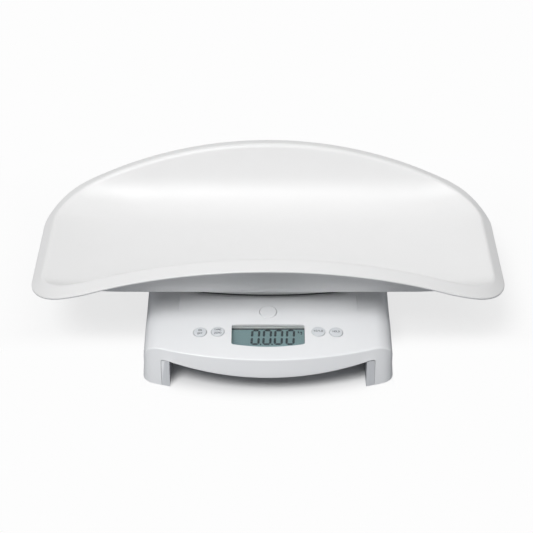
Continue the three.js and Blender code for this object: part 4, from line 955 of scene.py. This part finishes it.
SMOOTHED = {
    "tray_seat": (SEAT_ABS, "seat_plastic"),
    "bottom_housing": (HOUSING_ABS, "housing_plastic"),
    "release_spring": (BRIGHT_STEEL, "spring_steel"),
    "foot_carrier": (HOUSING_ABS, "housing_plastic"),
    "foot": (DARK_RUBBER_AND_PAINTED_SHADE, "foot_rubber"),
    "cell": (CELL_SLEEVE, "cell_jacket"),
    "tray_screw": (ZINC_STEEL, "screw_steel"),
    "housing_screw": (ZINC_STEEL, "screw_steel"),
}
done = {"tray", "top_cover", "release_button", "display_bezel", *KEY_PLACES}
for node_name, node in list(frame["nodes"].items()):
    if node_name in done or any(node_name.startswith(start) for start in NODE_FINISH):
        continue
    start = next(s for s in SMOOTHED if node_name.startswith(s))
    finish, slot = SMOOTHED[start]
    body = node["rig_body"]
    sharp = BLOCK_SHARP if node_name == "bottom_housing" else SHARP
    stand_for(merged_copy(node_name, "smooth_" + node_name, finish, sharp), node_name, body)

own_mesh(bpy.data.objects["smooth_release_spring"])

# Floor, light and camera

FLOOR_SIZE = 8000.0
# Where the floor's own glow starts and is full, past the base's sides, its bow and its back.
SIDE_EDGE, BOW_EDGE, BACK_EDGE = (-5, 4), (-24, 16), (-10, 25)
# The glow is SHADE_GLOW in the tray's shadow, and grows to 1 past its sides, front and back.
SHADE_GLOW, SHADE_SIDE, SHADE_FRONT, SHADE_BACK = 0.75, (130, 270), (-75, -30), (180, 400)
SKY_LOW, SKY_HIGH = 0.12, 0.4


def number_step(tree, operation, first, second):
    """One step of arithmetic on two sockets."""
    step = add_node(tree, "ShaderNodeMath", {"operation": operation})
    tree.links.new(first, step.inputs[0])
    tree.links.new(second, step.inputs[1])
    return step.outputs[0]


def ramp(tree, value, place, reach, low, high):
    """A smooth change from low to high over a reach about a place, both in millimetres."""
    start, end = place + reach[0], place + reach[1]
    fields = {"interpolation_type": "SMOOTHSTEP", "From Min": start * MM, "From Max": end * MM,
              "To Min": low, "To Max": high}
    return add_node(tree, "ShaderNodeMapRange", fields, Value=value).outputs[0]


def floor_material():
    """A seamless studio sweep: white to the camera, and a mid grey to the light that it throws back.

    Away from the base the sweep's own glow, seen by the camera only, lifts the shadow. Under the base
    there is no glow, so the shadow there stays dark.
    """
    material, tree = new_material("pale_studio_floor")
    where = add_node(tree, "ShaderNodeTexCoord")
    mottle = add_node(tree, "ShaderNodeTexNoise", {"Scale": 2.0}, Vector=where.outputs["Object"])
    tone = add_node(tree, "ShaderNodeMix", {"data_type": "RGBA"}, Factor=mottle.outputs["Fac"])
    tone.inputs[6].default_value = rgb("#FCFCFC")
    tone.inputs[7].default_value = rgb("#FEFEFE")
    path = add_node(tree, "ShaderNodeLightPath")
    seen = add_node(tree, "ShaderNodeMix", {"data_type": "RGBA"}, Factor=path.outputs["Is Camera Ray"])
    seen.inputs[6].default_value = rgb("#96999D")
    tree.links.new(tone.outputs[2], seen.inputs[7])
    apart = add_node(tree, "ShaderNodeSeparateXYZ", Vector=where.outputs["Object"])
    aside = add_node(tree, "ShaderNodeMath", {"operation": "ABSOLUTE"})
    tree.links.new(apart.outputs["X"], aside.inputs[0])
    reach = add_node(tree, "ShaderNodeVectorMath", {"operation": "DISTANCE"})
    tree.links.new(where.outputs["Object"], reach.inputs[0])
    reach.inputs[1].default_value = (0, (ARC_CENTRE + TRAY_Y) * MM, 0)
    beside = ramp(tree, aside.outputs[0], HALF_BASE, SIDE_EDGE, 0, 1)
    before = ramp(tree, reach.outputs["Value"], FRONT_ARC, BOW_EDGE, 0, 1)
    behind = ramp(tree, apart.outputs["Y"], BASE_BACK + TRAY_Y, BACK_EDGE, 0, 1)
    near = number_step(tree, "MAXIMUM", number_step(tree, "MAXIMUM", beside, before), behind)
    far = ramp(tree, aside.outputs[0], HALF_BASE, SHADE_SIDE, SHADE_GLOW, 1)
    ahead = ramp(tree, apart.outputs["Y"], 0, SHADE_FRONT, 1, SHADE_GLOW)
    beyond = ramp(tree, apart.outputs["Y"], 0, SHADE_BACK, SHADE_GLOW, 1)
    outer = number_step(tree, "MAXIMUM", number_step(tree, "MAXIMUM", far, ahead), beyond)
    amount = number_step(tree, "MULTIPLY", number_step(tree, "MULTIPLY", near, outer),
                         path.outputs["Is Camera Ray"])
    shader = add_node(tree, "ShaderNodeBsdfDiffuse", Color=seen.outputs[2])
    glow = add_node(tree, "ShaderNodeEmission", {"Color": rgb("#FDFDFD"), "Strength": 1.0})
    surface = add_node(tree, "ShaderNodeMixShader", Fac=amount)
    tree.links.new(shader.outputs[0], surface.inputs[1])
    tree.links.new(glow.outputs[0], surface.inputs[2])
    add_node(tree, "ShaderNodeOutputMaterial", Surface=surface.outputs[0])
    return material


corners = np.array([[-1, -1, 0], [1, -1, 0], [1, 1, 0], [-1, 1, 0]]) * FLOOR_SIZE / 2
floor = make_object("floor", corners, [[0, 1, 2, 3]], floor_material(), smooth=False)


def sun(name, strength, angle, elevation, azimuth):
    """A soft far light: azimuth 0 shines from the front, positive from the right."""
    lamp = bpy.data.lights.new(name, "SUN")
    lamp.energy = strength
    lamp.angle = math.radians(angle)
    holder = bpy.data.objects.new(name, lamp)
    up, around = math.radians(elevation), math.radians(azimuth)
    source = Vector((math.sin(around) * math.cos(up), -math.cos(around) * math.cos(up), math.sin(up)))
    holder.rotation_euler = source.to_track_quat("Z", "Y").to_euler()
    bpy.context.scene.collection.objects.link(holder)


sun("key_softbox", 1.85, 22, 50, -22)
sun("overhead_softbox", 0.5, 60, 66, -5)
sun("rear_fill", 0.2, 50, 38, 165)

world = bpy.data.worlds.new("studio")
world.use_nodes = True
bpy.context.scene.world = world
world_tree = world.node_tree
world_tree.nodes.clear()
path = add_node(world_tree, "ShaderNodeLightPath")
seen = number_step(world_tree, "ADD", path.outputs["Is Camera Ray"], path.outputs["Is Glossy Ray"])
seen = number_step(world_tree, "ADD", seen, path.outputs["Is Transmission Ray"])
direction = add_node(world_tree, "ShaderNodeTexCoord")
height = add_node(world_tree, "ShaderNodeSeparateXYZ", Vector=direction.outputs["Generated"])
dome_light = add_node(world_tree, "ShaderNodeMapRange", {"To Min": SKY_LOW, "To Max": SKY_HIGH},
                      Value=height.outputs["Z"])
strength = add_node(world_tree, "ShaderNodeMapRange", {"To Max": 1.0}, Value=seen)
world_tree.links.new(dome_light.outputs[0], strength.inputs["To Min"])
sky = add_node(world_tree, "ShaderNodeBackground", {"Color": rgb("#FFFFFF")}, Strength=strength.outputs[0])
add_node(world_tree, "ShaderNodeOutputWorld", Surface=sky.outputs[0])

camera_data = bpy.data.cameras.new("camera")
camera_data.sensor_width = 36
camera_data.lens = 111.3
camera_data.clip_end = 50
camera = bpy.data.objects.new("camera", camera_data)
bpy.context.scene.collection.objects.link(camera)
bpy.context.scene.camera = camera
CAMERA_PLACE = Vector((-0.0018, -1.66495, 1.1099))
CAMERA_LOOK = Vector((0, 0.848048, -0.529919))
camera.location = CAMERA_PLACE
camera.rotation_euler = CAMERA_LOOK.to_track_quat("-Z", "Y").to_euler()

bpy.context.scene.view_settings.view_transform = "Standard"
